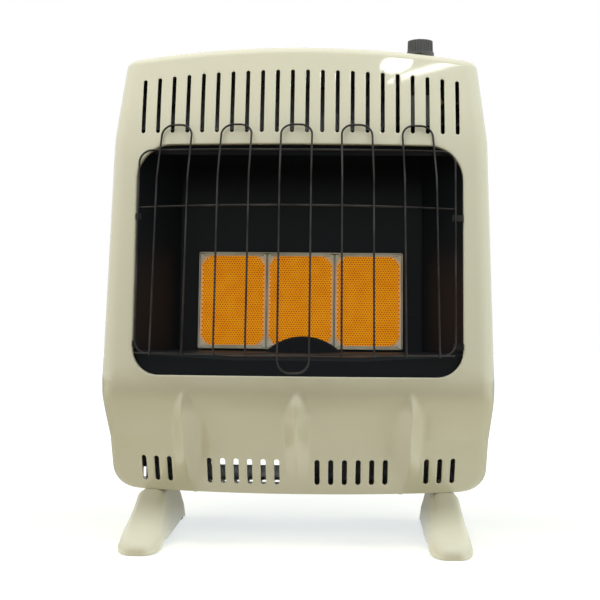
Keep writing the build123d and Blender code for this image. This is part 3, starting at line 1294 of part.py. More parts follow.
spark_route = [
    spark_foot - FIREBOX.y_dir * 0.25,
    Vector(spark_foot.X, spark_foot.Y, SPARK_RUN[1]),
    world(spark_foot.X, SPARK_RUN[0], SPARK_RUN[1]),
    world(SPARK_POST_X, SPARK_RUN[0], SPARK_RUN[1]),
    world(SPARK_POST_X, SPARK_RUN[0], SPARK_TOP),
    world(PIEZO_X, SPARK_RUN[0], SPARK_TOP),
    world(PIEZO_X, KNOB_DEPTH + PIEZO_RADIUS + 0.1, SPARK_TOP),
]
spark_bends = [30.0, 40.0, 60.0, 28.0, 30.0]
with BuildPart() as ignition_lead:
    add(tube(spark_route, spark_bends, SPARK_LEAD))
ignition_lead.part.label = "ignition_lead"
export_step(ignition_lead.part, "parts/ignition_lead.step")

with BuildPart() as piezo_igniter:
    add(disc(PIEZO_X, KNOB_DEPTH, SHELF_Z + 0.1, SPARK_TOP + 12, PIEZO_RADIUS))
    add(disc(PIEZO_X, KNOB_DEPTH, SPARK_TOP + 12, SPARK_TOP + 20, 5.0))
    fillet(piezo_igniter.edges().group_by(Axis.Z)[-1], 1)
piezo_igniter.part.label = "piezo_igniter"
export_step(piezo_igniter.part, "parts/piezo_igniter.step")

pilot_foot = firebox_point(PILOT_X, SHELF_UP - BRACKET, PILOT_OUT)
pilot_route = [
    world(PILOT_PORT[0], NUT_FACE, PILOT_PORT[1]),
    world(PILOT_PORT[0], 222, PILOT_PORT[1]),
    world(PILOT_PORT[0], 222, 212),
    world(PILOT_X, 222, 212),
    Vector(PILOT_X, pilot_foot.Y, 212),
    Vector(PILOT_X, pilot_foot.Y, pilot_foot.Z + 1.1),
]
pilot_bends = [20.0, 30.0, 30.0, 16.0]
with BuildPart() as pilot_pipe:
    add(tube(pilot_route, pilot_bends, THIN_PIPE, THIN_PIPE - 0.7))
pilot_pipe.part.label = "pilot_pipe"
export_step(pilot_pipe.part, "parts/pilot_pipe.step")
print("lead and pilot pipe bend radii:", couple_bends, spark_bends, pilot_bends)

with BuildPart() as flare_nuts:
    for (x, z), bore, reach in (
        (BURNER_PORT, BURNER_PIPE, 7.0),
        (PILOT_PORT, THIN_PIPE, 5.5),
        (COUPLE_PORT, COUPLE_LEAD, 4.5),
    ):
        with BuildSketch(Plane(origin=world(x, NUT_FACE, z), z_dir=(0, 1, 0))):
            RegularPolygon(reach, 6)
            Circle(bore + 0.05, mode=Mode.SUBTRACT)
        extrude(amount=9)
    with BuildSketch(Plane.XY.offset(INJECTOR_Z + 14.1)):
        with Locations((HOLDER_X, y_at(VENTURI_DEPTH))):
            RegularPolygon(7.0, 6)
            Circle(BURNER_PIPE + 0.05, mode=Mode.SUBTRACT)
    extrude(amount=9)
    for x in (REGULATOR_X[1] + 0.1, VALVE_X[1] + 0.1):
        z = INLET_Z if x > VALVE_X[1] + 1 else SUPPLY_Z
        depth = SUPPLY_DEPTH if x > VALVE_X[1] + 1 else KNOB_DEPTH
        with BuildSketch(Plane(origin=world(x, depth, z), z_dir=(1, 0, 0))):
            RegularPolygon(8.0, 6)
            Circle(SUPPLY_RADIUS + 0.05, mode=Mode.SUBTRACT)
        extrude(amount=7)
flare_nuts.part.label = "flare_nuts"
export_step(flare_nuts.part, "parts/flare_nuts.step")
# ---------------------------------------------------------------- feet
FOOT_BASE = 5.0  # lowest edge of the foot's skirt; the rubber pads stand lower
FOOT_ARCH = 9.0  # the skirt is cut up to here between the pads
ARCH_ENDS = ((24.0, 40.0), (268.0, 280.0))  # depths where the cut starts and is full, at both ends
FOOT_DRAFT = 8.0
FOOT_EDGE = 5.0  # rounding along the top's edges
FOOT_STATIONS = [  # cross-sections from the toe to the heel: depth, half width at floor level, height
    (FOOT_FRONT, 15.0, 12.5),
    (FOOT_FRONT + 2.5, 20.5, 16.5),
    (FOOT_FRONT + 8, 25.0, 20.0),
    (-10, 28.5, 23.5),
    (8, 30.5, 27.5),
    (40, 30.0, 36.5),
    (70, 29.6, 47.0),
    (90, 29.3, 57.5),
    (104, FOOT_HALF + 2, FOOT_TOP),
    (234, FOOT_HALF - 1, FOOT_TOP),
    (262, 25.2, 63.0),
    (292, 24.0, 52.0),
    (310, 23.0, 42.0),
    (FOOT_REAR, 21.5, 36.0),
]


def foot_body(inset: float) -> Part:
    """Foot as a solid loft of drafted sections, drawn in by inset and then open below."""
    low = -FOOT_BASE if inset else FOOT_BASE
    draft = math.tan(math.radians(FOOT_DRAFT))
    with BuildPart() as body:
        for depth, half, height in FOOT_STATIONS:
            if FOOT_FRONT + 2 * inset <= depth <= FOOT_REAR - 2 * inset:
                top = height - inset
                with BuildSketch(Plane.XZ.offset(-y_at(depth))) as section:
                    with Locations((FOOT_X, 0)):
                        right = [(half - inset - z * draft, z) for z in (low, top)]
                        left = [(-x, z) for x, z in reversed(right)]
                        Polygon(*right, *left, align=None)
                    fillet(section.vertices().group_by(Axis.Y)[-1], FOOT_EDGE - inset)
        loft(ruled=True)
        if not inset:
            (toe_start, toe_full), (heel_full, heel_start) = ARCH_ENDS
            with BuildSketch(Plane.YZ):
                arch = [(toe_start, 0), (toe_start, FOOT_BASE), (toe_full, FOOT_ARCH)]
                arch += [(heel_full, FOOT_ARCH), (heel_start, FOOT_BASE), (heel_start, 0)]
                Polygon(*[(y_at(depth), z) for depth, z in arch], align=None)
            extrude(amount=CUTTER, mode=Mode.SUBTRACT)
    return body.part


def foot(side: int) -> Part:
    """Hollow moulded foot with two bolt holes."""
    with BuildPart() as body:
        add(foot_body(0.0))
        add(foot_body(FOOT_WALL), mode=Mode.SUBTRACT)
        with BuildSketch(Plane.XY.offset(FOOT_TOP + 1)):
            with Locations(*[(FOOT_X, y_at(depth)) for depth in BOLT_DEPTHS]):
                Circle(BOLT_HOLE)
        extrude(amount=-CUTTER / 20, mode=Mode.SUBTRACT)
        if side < 0:
            mirror(about=Plane.YZ, mode=Mode.REPLACE)
    return body.part


with BuildPart() as left_foot:
    add(foot(-1))
left_foot.part.label = "left_foot"
export_step(left_foot.part, "parts/left_foot.step")

with BuildPart() as right_foot:
    add(foot(1))
right_foot.part.label = "right_foot"
export_step(right_foot.part, "parts/right_foot.step")

PAD_FRONT_DEPTH = -6.0
PAD_REAR_DEPTH = 299.0
PAD_HEIGHT = 9.5
FOOT_SPOTS = [(side * FOOT_X, y_at(depth)) for side in (-1, 1) for depth in BOLT_DEPTHS]
with BuildPart() as foot_pads:
    with BuildSketch(Plane.XY):
        with Locations(*[(side * FOOT_X, y_at(PAD_FRONT_DEPTH)) for side in (-1, 1)]):
            RectangleRounded(36, 22, 8)
        with Locations(*[(side * (FOOT_X - 1), y_at(PAD_REAR_DEPTH)) for side in (-1, 1)]):
            RectangleRounded(36, 20, 4)
    extrude(amount=PAD_HEIGHT)
    chamfer(foot_pads.edges().group_by(Axis.Z)[0], 0.8)
foot_pads.part.label = "foot_pads"
export_step(foot_pads.part, "parts/foot_pads.step")

BOLT_HEAD = 5.2
NUT_REACH = 5.6
bolt_seat = FOOT_TOP - FOOT_WALL - 0.1
nut_seat = BASE_Z + BRACKET + 0.1
with BuildPart() as foot_bolts:
    for x, y in FOOT_SPOTS:
        length = nut_seat + 7 - bolt_seat
        add(screw(Vector(x, y, bolt_seat), Vector(0, 0, -1), length, BOLT_HEAD, BOLT_RADIUS))
foot_bolts.part.label = "foot_bolts"
export_step(foot_bolts.part, "parts/foot_bolts.step")

with BuildPart() as foot_nuts:
    with BuildSketch(Plane.XY.offset(nut_seat)):
        with Locations(*FOOT_SPOTS):
            RegularPolygon(NUT_REACH, 6)
            Circle(BOLT_RADIUS + 0.03, mode=Mode.SUBTRACT)
    extrude(amount=5)
foot_nuts.part.label = "foot_nuts"
export_step(foot_nuts.part, "parts/foot_nuts.step")

SCREW_HEAD = 3.8
with BuildPart() as casing_screws:  # up through the bottom flange, and forward through the rear panel
    for x in FLANGE_SCREW_XS:
        for side in (-1, 1):
            seat = world(side * x, FLANGE_SCREW_DEPTH, CASING_BOTTOM - 0.1)
            add(screw(seat, Vector(0, 0, -1), 6, SCREW_HEAD))
    for z in PANEL_SCREW_ZS:
        for side in (-1, 1):
            add(screw(world(side * PANEL_SCREW_X, PANEL_DEPTH + 0.1, z), Vector(0, 1, 0), 5, SCREW_HEAD))
casing_screws.part.label = "casing_screws"
export_step(casing_screws.part, "parts/casing_screws.step")

with BuildPart() as frame_screws:  # from inside, through the cross plates' flanges into the posts
    for side in (-1, 1):
        inner_x = side * (PLATE_END - BRACKET - 0.1)
        for spot in BACK_SCREWS + DEFLECTOR_SCREWS + (SHELF_SCREWS if side > 0 else []):
            add(screw(Vector(inner_x, spot.Y, spot.Z), Vector(-side, 0, 0), 5, SCREW_HEAD))
frame_screws.part.label = "frame_screws"
export_step(frame_screws.part, "parts/frame_screws.step")

with BuildPart() as bracket_screws:
    for x, up in BRACKET_SPOTS + PILOT_SPOTS:
        add(screw(firebox_point(x, up, -6.3 - BRACKET - 0.1), -FIREBOX.z_dir, 3.5, 3.4))
    for side, up in ARM_SPOTS:
        seat = firebox_point(side * (BOX_HALF + 0.1 + BRACKET + 0.1), up, ARM_OUT)
        add(screw(seat, Vector(side, 0, 0), 3.0, 3.4))
bracket_screws.part.label = "bracket_screws"
export_step(bracket_screws.part, "parts/bracket_screws.step")
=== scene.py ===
"""Looks of a three-plaque gas room heater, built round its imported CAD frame.

The CAD nodes give the metalwork its shapes. This script dresses each of them in the finish of its material
slot, models the enamelled casing, the feet, the ceramic plaques and the knob's spring again with their fine
detail, adds the cups over the hanging keyholes, and sets the studio and the camera. Lengths are in metres,
unless a class gives its sizes in millimetres.
"""

import json
import logging
import math
from dataclasses import dataclass
from enum import Enum
from typing import Callable, Sequence

import bmesh
import bpy
from bpy.types import ID, Material, Node, NodeSocket, Object
from mathutils import Matrix, Vector


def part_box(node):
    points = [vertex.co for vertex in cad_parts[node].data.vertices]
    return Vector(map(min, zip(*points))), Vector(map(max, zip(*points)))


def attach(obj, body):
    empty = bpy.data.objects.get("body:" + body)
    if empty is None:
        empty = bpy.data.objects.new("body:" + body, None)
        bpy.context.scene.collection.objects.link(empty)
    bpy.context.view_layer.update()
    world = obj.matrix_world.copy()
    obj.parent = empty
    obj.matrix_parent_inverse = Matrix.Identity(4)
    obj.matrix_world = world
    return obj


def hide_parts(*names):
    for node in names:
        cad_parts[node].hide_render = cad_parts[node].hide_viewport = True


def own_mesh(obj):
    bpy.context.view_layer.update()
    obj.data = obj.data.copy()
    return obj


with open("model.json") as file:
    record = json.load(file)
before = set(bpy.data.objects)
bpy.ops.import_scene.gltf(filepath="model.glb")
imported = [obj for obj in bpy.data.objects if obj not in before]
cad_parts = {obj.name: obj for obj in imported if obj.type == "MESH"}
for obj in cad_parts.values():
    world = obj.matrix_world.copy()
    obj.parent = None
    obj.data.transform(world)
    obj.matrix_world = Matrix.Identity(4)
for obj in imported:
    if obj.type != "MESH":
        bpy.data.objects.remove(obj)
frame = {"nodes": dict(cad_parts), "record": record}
LOG = logging.getLogger("heater")
MM = 0.001
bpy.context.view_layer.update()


class Body(str, Enum):
    """CAD bodies that pieces ride on."""

    HEATER = "heater"
    PLUG = "plug"


class Slot(str, Enum):
    """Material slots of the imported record."""

    CREAM_ENAMEL = "cream_enamel"
    BLACK_ENAMEL = "black_enamel"
    ZINC_SHEET = "zinc_sheet"
    BURNER_STEEL = "burner_steel"
    GUARD_WIRE = "guard_wire"
    PLAQUE_CERAMIC = "plaque_ceramic"
    FIBRE_GASKET = "fibre_gasket"
    ALUMINIUM_PIPE = "aluminium_pipe"
    CAST_ALLOY = "cast_alloy"
    BRASS = "brass"
    SPINDLE_STEEL = "spindle_steel"
    KNOB_PLASTIC = "knob_plastic"
    CERAMIC_WHITE = "ceramic_white"
    LEAD_SHEATH = "lead_sheath"
    RUBBER_PAD = "rubber_pad"
    ZINC_FASTENER = "zinc_fastener"


# ---------------------------------------------------------------- finishes
def linear(red: int, green: int, blue: int) -> tuple[float, float, float, float]:
    """Linear colour of a paint chart's 8-bit values.

    Args:
        red: red value, from 0 to 255.
        green: green value.
        blue: blue value.

    Returns:
        Red, green, blue and an alpha of 1.
    """

    def channel(value: int) -> float:
        """Linear value of one channel."""
        share = value / 255
        return share / 12.92 if share <= 0.04045 else ((share + 0.055) / 1.055) ** 2.4

    return channel(red), channel(green), channel(blue), 1.0


class Graph:
    """Node tree of one material, with its Principled shader at hand."""

    def __init__(self, name: str) -> None:
        """Starts a material.

        Args:
            name: name of the material.
        """
        self.material: Material = bpy.data.materials.new(name)
        self.material.use_nodes = True
        self.tree = self.material.node_tree
        self.shader: Node = self.tree.nodes["Principled BSDF"]
        self.place: Node = self.add("ShaderNodeTexCoord")

    def add(self, kind: str, **settings: object) -> Node:
        """Adds a node.

        Args:
            kind: Blender's name of the node type.
            settings: properties, and sockets' values by name with spaces as underscores.

        Returns:
            The new node.
        """
        node = self.tree.nodes.new(kind)
        for key, value in settings.items():
            socket = node.inputs.get(key.replace("_", " "))
            if socket is not None:
                socket.default_value = value
            else:
                setattr(node, key, value)
        return node

    def join(self, source: NodeSocket, target: NodeSocket) -> None:
        """Links two sockets."""
        self.tree.links.new(source, target)

    def set(self, **values: object) -> None:
        """Sets the shader's own sockets by name, with spaces as underscores."""
        for key, value in values.items():
            self.shader.inputs[key.replace("_", " ")].default_value = value

    def noise(self, scale: float, detail: float = 3.0, stretch: Sequence[float] = (1, 1, 1)) -> NodeSocket:
        """Cloudy pattern on object coordinates.

        Args:
            scale: cells per metre.
            detail: how many finer octaves it has.
            stretch: scale along each axis.

        Returns:
            The pattern's value socket.
        """
        mapping = self.add("ShaderNodeMapping", Scale=stretch)
        self.join(self.place.outputs["Object"], mapping.inputs["Vector"])
        pattern = self.add("ShaderNodeTexNoise", Scale=scale, Detail=detail)
        self.join(mapping.outputs["Vector"], pattern.inputs["Vector"])
        return pattern.outputs["Fac"]

    def ramp(self, value: NodeSocket, stops: Sequence[tuple[float, Sequence[float]]]) -> NodeSocket:
        """Colour ramp.

        Args:
            value: what drives it.
            stops: positions and their colours.

        Returns:
            The colour socket.
        """
        node = self.add("ShaderNodeValToRGB")
        elements = node.color_ramp.elements
        while len(elements) < len(stops):
            elements.new(0.5)
        for element, (position, colour) in zip(elements, stops):
            element.position = position
            element.color = colour
        self.join(value, node.inputs["Fac"])
        return node.outputs["Color"]

    def span(self, value: NodeSocket, low: float, high: float) -> NodeSocket:
        """Maps a value from 0 to 1 on another range.

        Args:
            value: what is mapped.
            low: result at 0.
            high: result at 1.

        Returns:
            The result's socket.
        """
        node = self.add("ShaderNodeMapRange", To_Min=low, To_Max=high)
        self.join(value, node.inputs["Value"])
        return node.outputs["Result"]

    def colour(self, source: NodeSocket) -> None:
        """Links the base colour."""
        self.join(source, self.shader.inputs["Base Color"])

    def roughness(self, source: NodeSocket) -> None:
        """Links the roughness."""
        self.join(source, self.shader.inputs["Roughness"])

    def bump(self, height: NodeSocket, distance: float, strength: float) -> None:
        """Gives the shader's normal a relief.

        Args:
            height: pattern from 0 to 1.
            distance: depth of the pattern in metres.
            strength: share of it that shows.
        """
        node = self.add("ShaderNodeBump", Distance=distance, Strength=strength)
        self.join(height, node.inputs["Height"])
        self.join(node.outputs["Normal"], self.shader.inputs["Normal"])


@dataclass(frozen=True)
class Finish:
    """Surface finish: its name, its colour and the shade that the colour drifts to.

    Depths are in metres, and the scales of patterns are in cells per metre.
    """

    name: str
    colour: tuple[int, int, int]
    shade: tuple[int, int, int]

    def paint(self, graph: Graph) -> None:
        """Sets the shader, in each finish's own way."""
        raise NotImplementedError

    def tones(self, graph: Graph, pattern: NodeSocket, low: float, high: float) -> NodeSocket:
        """Colour that is the shade where the pattern is low and the full colour where it is high."""
        return graph.ramp(pattern, [(low, linear(*self.shade)), (high, linear(*self.colour))])

    def make(self) -> Material:
        """Builds the material.

        Returns:
            The material.
        """
        graph = Graph(self.name)
        self.paint(graph)
        return graph.material


@dataclass(frozen=True)
class Enamel(Finish):
    """Stoved enamel on sheet steel: a clear gloss coat with a faint orange peel."""

    roughness: float
    coat: float
    coat_roughness: float = 0.035
    peel: float = 0.00003  # depth of the orange peel
    specular: float = 0.5
    drift_scale: float = 3.0  # of the colour
    gloss_scale: float = 12.0  # of the roughness
    peel_scale: float = 420.0
    uneven: float = 0.02  # how far the roughness goes up and down

    def paint(self, graph: Graph) -> None:
        """Sets the drift of the colour, the clear coat and the orange peel.

        Args:
            graph: the material's node tree.
        """
        graph.colour(self.tones(graph, graph.noise(self.drift_scale, 1.0), 0.1, 0.9))
        gloss = graph.noise(self.gloss_scale, 2.0)
        graph.roughness(graph.span(gloss, self.roughness - self.uneven, self.roughness + self.uneven))
        graph.set(Coat_Weight=self.coat, Coat_Roughness=self.coat_roughness)
        graph.set(Specular_IOR_Level=self.specular)
        graph.bump(graph.noise(self.peel_scale, 2.0), self.peel, 0.25)


@dataclass(frozen=True)
class Sheet(Finish):
    """Bare metal: aluminised, drawn, turned, plated or cast."""

    roughness: float
    grain: tuple[float, float, float] = (1.0, 1.0, 1.0)  # stretch of the rolling or turning marks
    grain_scale: float = 160.0
    cloud_scale: float = 22.0
    relief: float = 0.00004
    metallic: float = 1.0
    smoother: float = 0.08  # how far the roughness goes down along the grain
    rougher: float = 0.12  # and up

    def paint(self, graph: Graph) -> None:
        """Sets the cloudy colour and the grain.

        Args:
            graph: the material's node tree.
        """
        grain = graph.noise(self.grain_scale, 3.0, self.grain)
        graph.colour(self.tones(graph, graph.noise(self.cloud_scale, 5.0), 0.34, 0.66))
        graph.roughness(graph.span(grain, self.roughness - self.smoother, self.roughness + self.rougher))
        graph.set(Metallic=self.metallic)
        graph.bump(grain, self.relief, 0.35)


@dataclass(frozen=True)
class Spangle(Finish):
    """Hot-dip galvanised sheet with its zinc crystals."""

    crystals: float = 150.0  # per metre
    roughness: float = 0.42
    smoother: float = 0.1  # how far the roughness of a crystal goes down
    rougher: float = 0.12  # and up
    metallic: float = 0.9
    grain_scale: float = 300.0
    relief: float = 0.00003

    def paint(self, graph: Graph) -> None:
        """Gives each crystal its own tone and gloss.

        Args:
            graph: the material's node tree.
        """
        crystal = graph.add("ShaderNodeTexVoronoi", Scale=self.crystals)
        graph.join(graph.place.outputs["Object"], crystal.inputs["Vector"])
        tone = graph.add("ShaderNodeSeparateColor")
        graph.join(crystal.outputs["Color"], tone.inputs["Color"])
        graph.colour(self.tones(graph, tone.outputs["Red"], 0.0, 1.0))
        smooth, rough = self.roughness - self.smoother, self.roughness + self.rougher
        graph.roughness(graph.span(tone.outputs["Green"], smooth, rough))
        graph.set(Metallic=self.metallic)
        graph.bump(graph.noise(self.grain_scale, 3.0), self.relief, 0.3)


@dataclass(frozen=True)
class Moulded(Finish):
    """Moulded or fired body: plastic, rubber, silicone, glazed or fibrous ceramic."""

    roughness: float
    texture_scale: float = 700.0
    texture_depth: float = 0.00006
    sheen: float = 0.0
    mottle_scale: float = 35.0  # of the colour
    gloss_scale: float = 90.0  # of the roughness
    smoother: float = 0.06  # how far the roughness goes down
    rougher: float = 0.08  # and up

    def paint(self, graph: Graph) -> None:
        """Sets the mottled colour and the fine texture.

        Args:
            graph: the material's node tree.
        """
        graph.colour(self.tones(graph, graph.noise(self.mottle_scale, 4.0), 0.3, 0.7))
        gloss = graph.noise(self.gloss_scale, 4.0)
        graph.roughness(graph.span(gloss, self.roughness - self.smoother, self.roughness + self.rougher))
        graph.set(Sheen_Weight=self.sheen)
        graph.bump(graph.noise(self.texture_scale, 3.0), self.texture_depth, 0.5)


@dataclass(frozen=True)
class GlowingCeramic(Finish):
    """Cordierite that glows in its own mottled colour."""

    glow: float
    roughness: float = 0.8
    mottle_scale: float = 60.0
    texture_scale: float = 1500.0
    texture_depth: float = 0.00008

    def paint(self, graph: Graph) -> None:
        """Sets one mottled colour for the surface and its glow.

        Args:
            graph: the material's node tree.
        """
        heat = self.tones(graph, graph.noise(self.mottle_scale, 4.0), 0.3, 0.68)
        graph.colour(heat)
        graph.join(heat, graph.shader.inputs["Emission Color"])
        graph.set(Emission_Strength=self.glow, Roughness=self.roughness)
        graph.bump(graph.noise(self.texture_scale, 2.0), self.texture_depth, 0.5)


FINISHES = {
    Slot.CREAM_ENAMEL: Enamel("cream_enamel", (221, 217, 191), (216, 211, 184), 0.34, 0.85),
    Slot.BLACK_ENAMEL: Enamel("black_enamel", (25, 28, 31), (22, 25, 27), 0.5, 0.02, 0.25, specular=0.15),
    Slot.ZINC_SHEET: Spangle("zinc_sheet", (198, 200, 203), (176, 179, 183)),
    Slot.BURNER_STEEL: Sheet("burner_steel", (206, 200, 178), (172, 164, 140), 0.5, (1, 1, 6), metallic=0.45),
    Slot.GUARD_WIRE: Sheet("guard_wire", (80, 79, 78), (52, 51, 50), 0.36, grain_scale=500.0),
    Slot.PLAQUE_CERAMIC: GlowingCeramic("plaque_ceramic", (238, 152, 20), (228, 138, 12), 0.55),
    Slot.FIBRE_GASKET: Moulded("fibre_gasket", (226, 221, 206), (200, 194, 176), 0.9, 900.0, 0.0003, 0.3),
    Slot.ALUMINIUM_PIPE: Sheet("aluminium_pipe", (206, 206, 203), (178, 178, 176), 0.3, (1, 1, 4)),
    Slot.CAST_ALLOY: Sheet(
        "cast_alloy", (176, 176, 172), (140, 140, 137), 0.5, grain_scale=600.0, relief=0.00012
    ),
    Slot.BRASS: Sheet("brass", (212, 178, 98), (176, 138, 66), 0.28, (1, 1, 5)),
    Slot.SPINDLE_STEEL: Sheet("spindle_steel", (192, 192, 190), (150, 150, 149), 0.28, (1, 1, 8)),
    Slot.KNOB_PLASTIC: Moulded("knob_plastic", (92, 93, 92), (76, 77, 76), 0.42),
    Slot.CERAMIC_WHITE: Moulded("ceramic_white", (234, 231, 219), (222, 217, 202), 0.22, 120.0, 0.00002),
    Slot.LEAD_SHEATH: Moulded("lead_sheath", (176, 62, 42), (150, 46, 32), 0.5),
    Slot.RUBBER_PAD: Moulded("rubber_pad", (32, 32, 32), (24, 24, 24), 0.75, 500.0, 0.0001),
    Slot.ZINC_FASTENER: Sheet("zinc_fastener", (198, 196, 186), (150, 148, 138), 0.3, grain_scale=400.0),
}
PAINTED = {  # nodes finished like what they hold, and the valve shelf, painted black as shade
    "bracket_screws": Slot.BLACK_ENAMEL,
    "frame_screws": Slot.BLACK_ENAMEL,
    # the valve shelf is zinc; its black is painted shade behind the slots
    "valve_shelf": Slot.BLACK_ENAMEL,
    "guard_clips": Slot.GUARD_WIRE,
}
# finishes of parts of a piece, without a slot of their own
# the feet's cream is paler than the casing's, though both are one paint: painted light on the feet
FOOT_LIT_ENAMEL = Enamel("foot_lit_enamel", (232, 228, 204), (226, 222, 197), 0.45, 0.15, 0.12)
# paler enamel of the cut edges: a painted highlight along the slots and the opening
RIM_HIGHLIGHT_ENAMEL = Enamel("rim_highlight_enamel", (247, 244, 228), (243, 240, 222), 0.34, 0.85)
PALE_CERAMIC = Moulded("pale_ceramic", (250, 247, 230), (238, 233, 212), 0.85, 1400.0, 0.0001)
# darker, dimmer ceramic of the port walls and floors: painted shade in the ports
PORT_SHADE_CERAMIC = GlowingCeramic("port_shade_ceramic", (176, 88, 10), (156, 74, 6), 0.14)


# ---------------------------------------------------------------- modelling by hand
def deselect() -> None:
    """Leaves nothing selected and no object in edit mode."""
    if bpy.context.object and bpy.context.object.mode != "OBJECT":
        bpy.ops.object.mode_set(mode="OBJECT")
    bpy.ops.object.select_all(action="DESELECT")


def take(piece: Object) -> None:
    """Makes the piece the only selected and the active object.

    Args:
        piece: the piece.
    """
    deselect()
    piece.select_set(True)
    bpy.context.view_layer.objects.active = piece


def settle(piece: Object, name: str) -> Object:
    """Names the piece and puts its place into its mesh.

    Args:
        piece: the piece.
        name: its name.

    Returns:
        The piece.
    """
    take(piece)
    bpy.ops.object.transform_apply(location=True, rotation=True, scale=True)
    piece.name = name
    piece.data.name = name
    return piece


def pick(piece: Object, wanted: Callable[[bmesh.types.BMFace], bool]) -> None:
    """Selects just the wanted faces of a piece in edit mode.

    Args:
        piece: the piece.
        wanted: True for a face that is to be selected.
    """
    cage = bmesh.from_edit_mesh(piece.data)
    faces = [face for face in cage.faces if wanted(face)]
    for face in cage.faces:
        face.select_set(False)
    for face in faces:
        face.select_set(True)
    cage.select_flush_mode()
    bmesh.update_edit_mesh(piece.data)


def add_object(name: str, data: ID) -> Object:
    """Puts a mesh, lamp or camera into the scene.

    Args:
        name: name of the object.
        data: what it shows.

    Returns:
        The object.
    """
    item = bpy.data.objects.new(name, data)
    bpy.context.scene.collection.objects.link(item)
    return item


def from_cage(name: str, cage: bmesh.types.BMesh) -> Object:
    """Makes an object of a finished cage, which is freed.

    Args:
        name: name of the object and its mesh.
        cage: the shape.

    Returns:
        The object.
    """
    mesh = bpy.data.meshes.new(name)
    cage.to_mesh(mesh)
    cage.free()
    return add_object(name, mesh)


def modify(piece: Object, kind: str, **settings: object) -> None:
    """Adds a modifier to a piece and applies it.

    Args:
        piece: the piece, which is left selected and active.
        kind: Blender's name of the modifier type.
        settings: properties of the modifier.
    """
    take(piece)
    modifier = piece.modifiers.new(kind.lower(), kind)
    for key, value in settings.items():
        setattr(modifier, key, value)
    bpy.ops.object.modifier_apply(modifier=modifier.name)


def weld(pieces: Sequence[Object]) -> Object:
    """Joins pieces into the first of them.

    Args:
        pieces: the pieces.

    Returns:
        The joined piece, selected and active.
    """
    take(pieces[0])
    for piece in pieces[1:]:
        piece.select_set(True)
    bpy.ops.object.join()
    return pieces[0]


def face_outwards(cage: bmesh.types.BMesh) -> None:
    """Turns the faces of an open shell so that its topmost face looks up.

    Args:
        cage: the shell.
    """
    bmesh.ops.recalc_face_normals(cage, faces=cage.faces)
    if max(cage.faces, key=lambda face: face.calc_center_median().z).normal.z < 0:
        bmesh.ops.reverse_faces(cage, faces=cage.faces)


def dress(piece: Object, *materials: Material) -> None:
    """Gives the piece these materials in its slots.

    Args:
        piece: the piece.
        materials: one material for each slot.
    """
    while len(piece.data.materials) < len(materials):
        piece.data.materials.append(None)
    for slot, material in zip(piece.material_slots, materials):
        slot.material = material


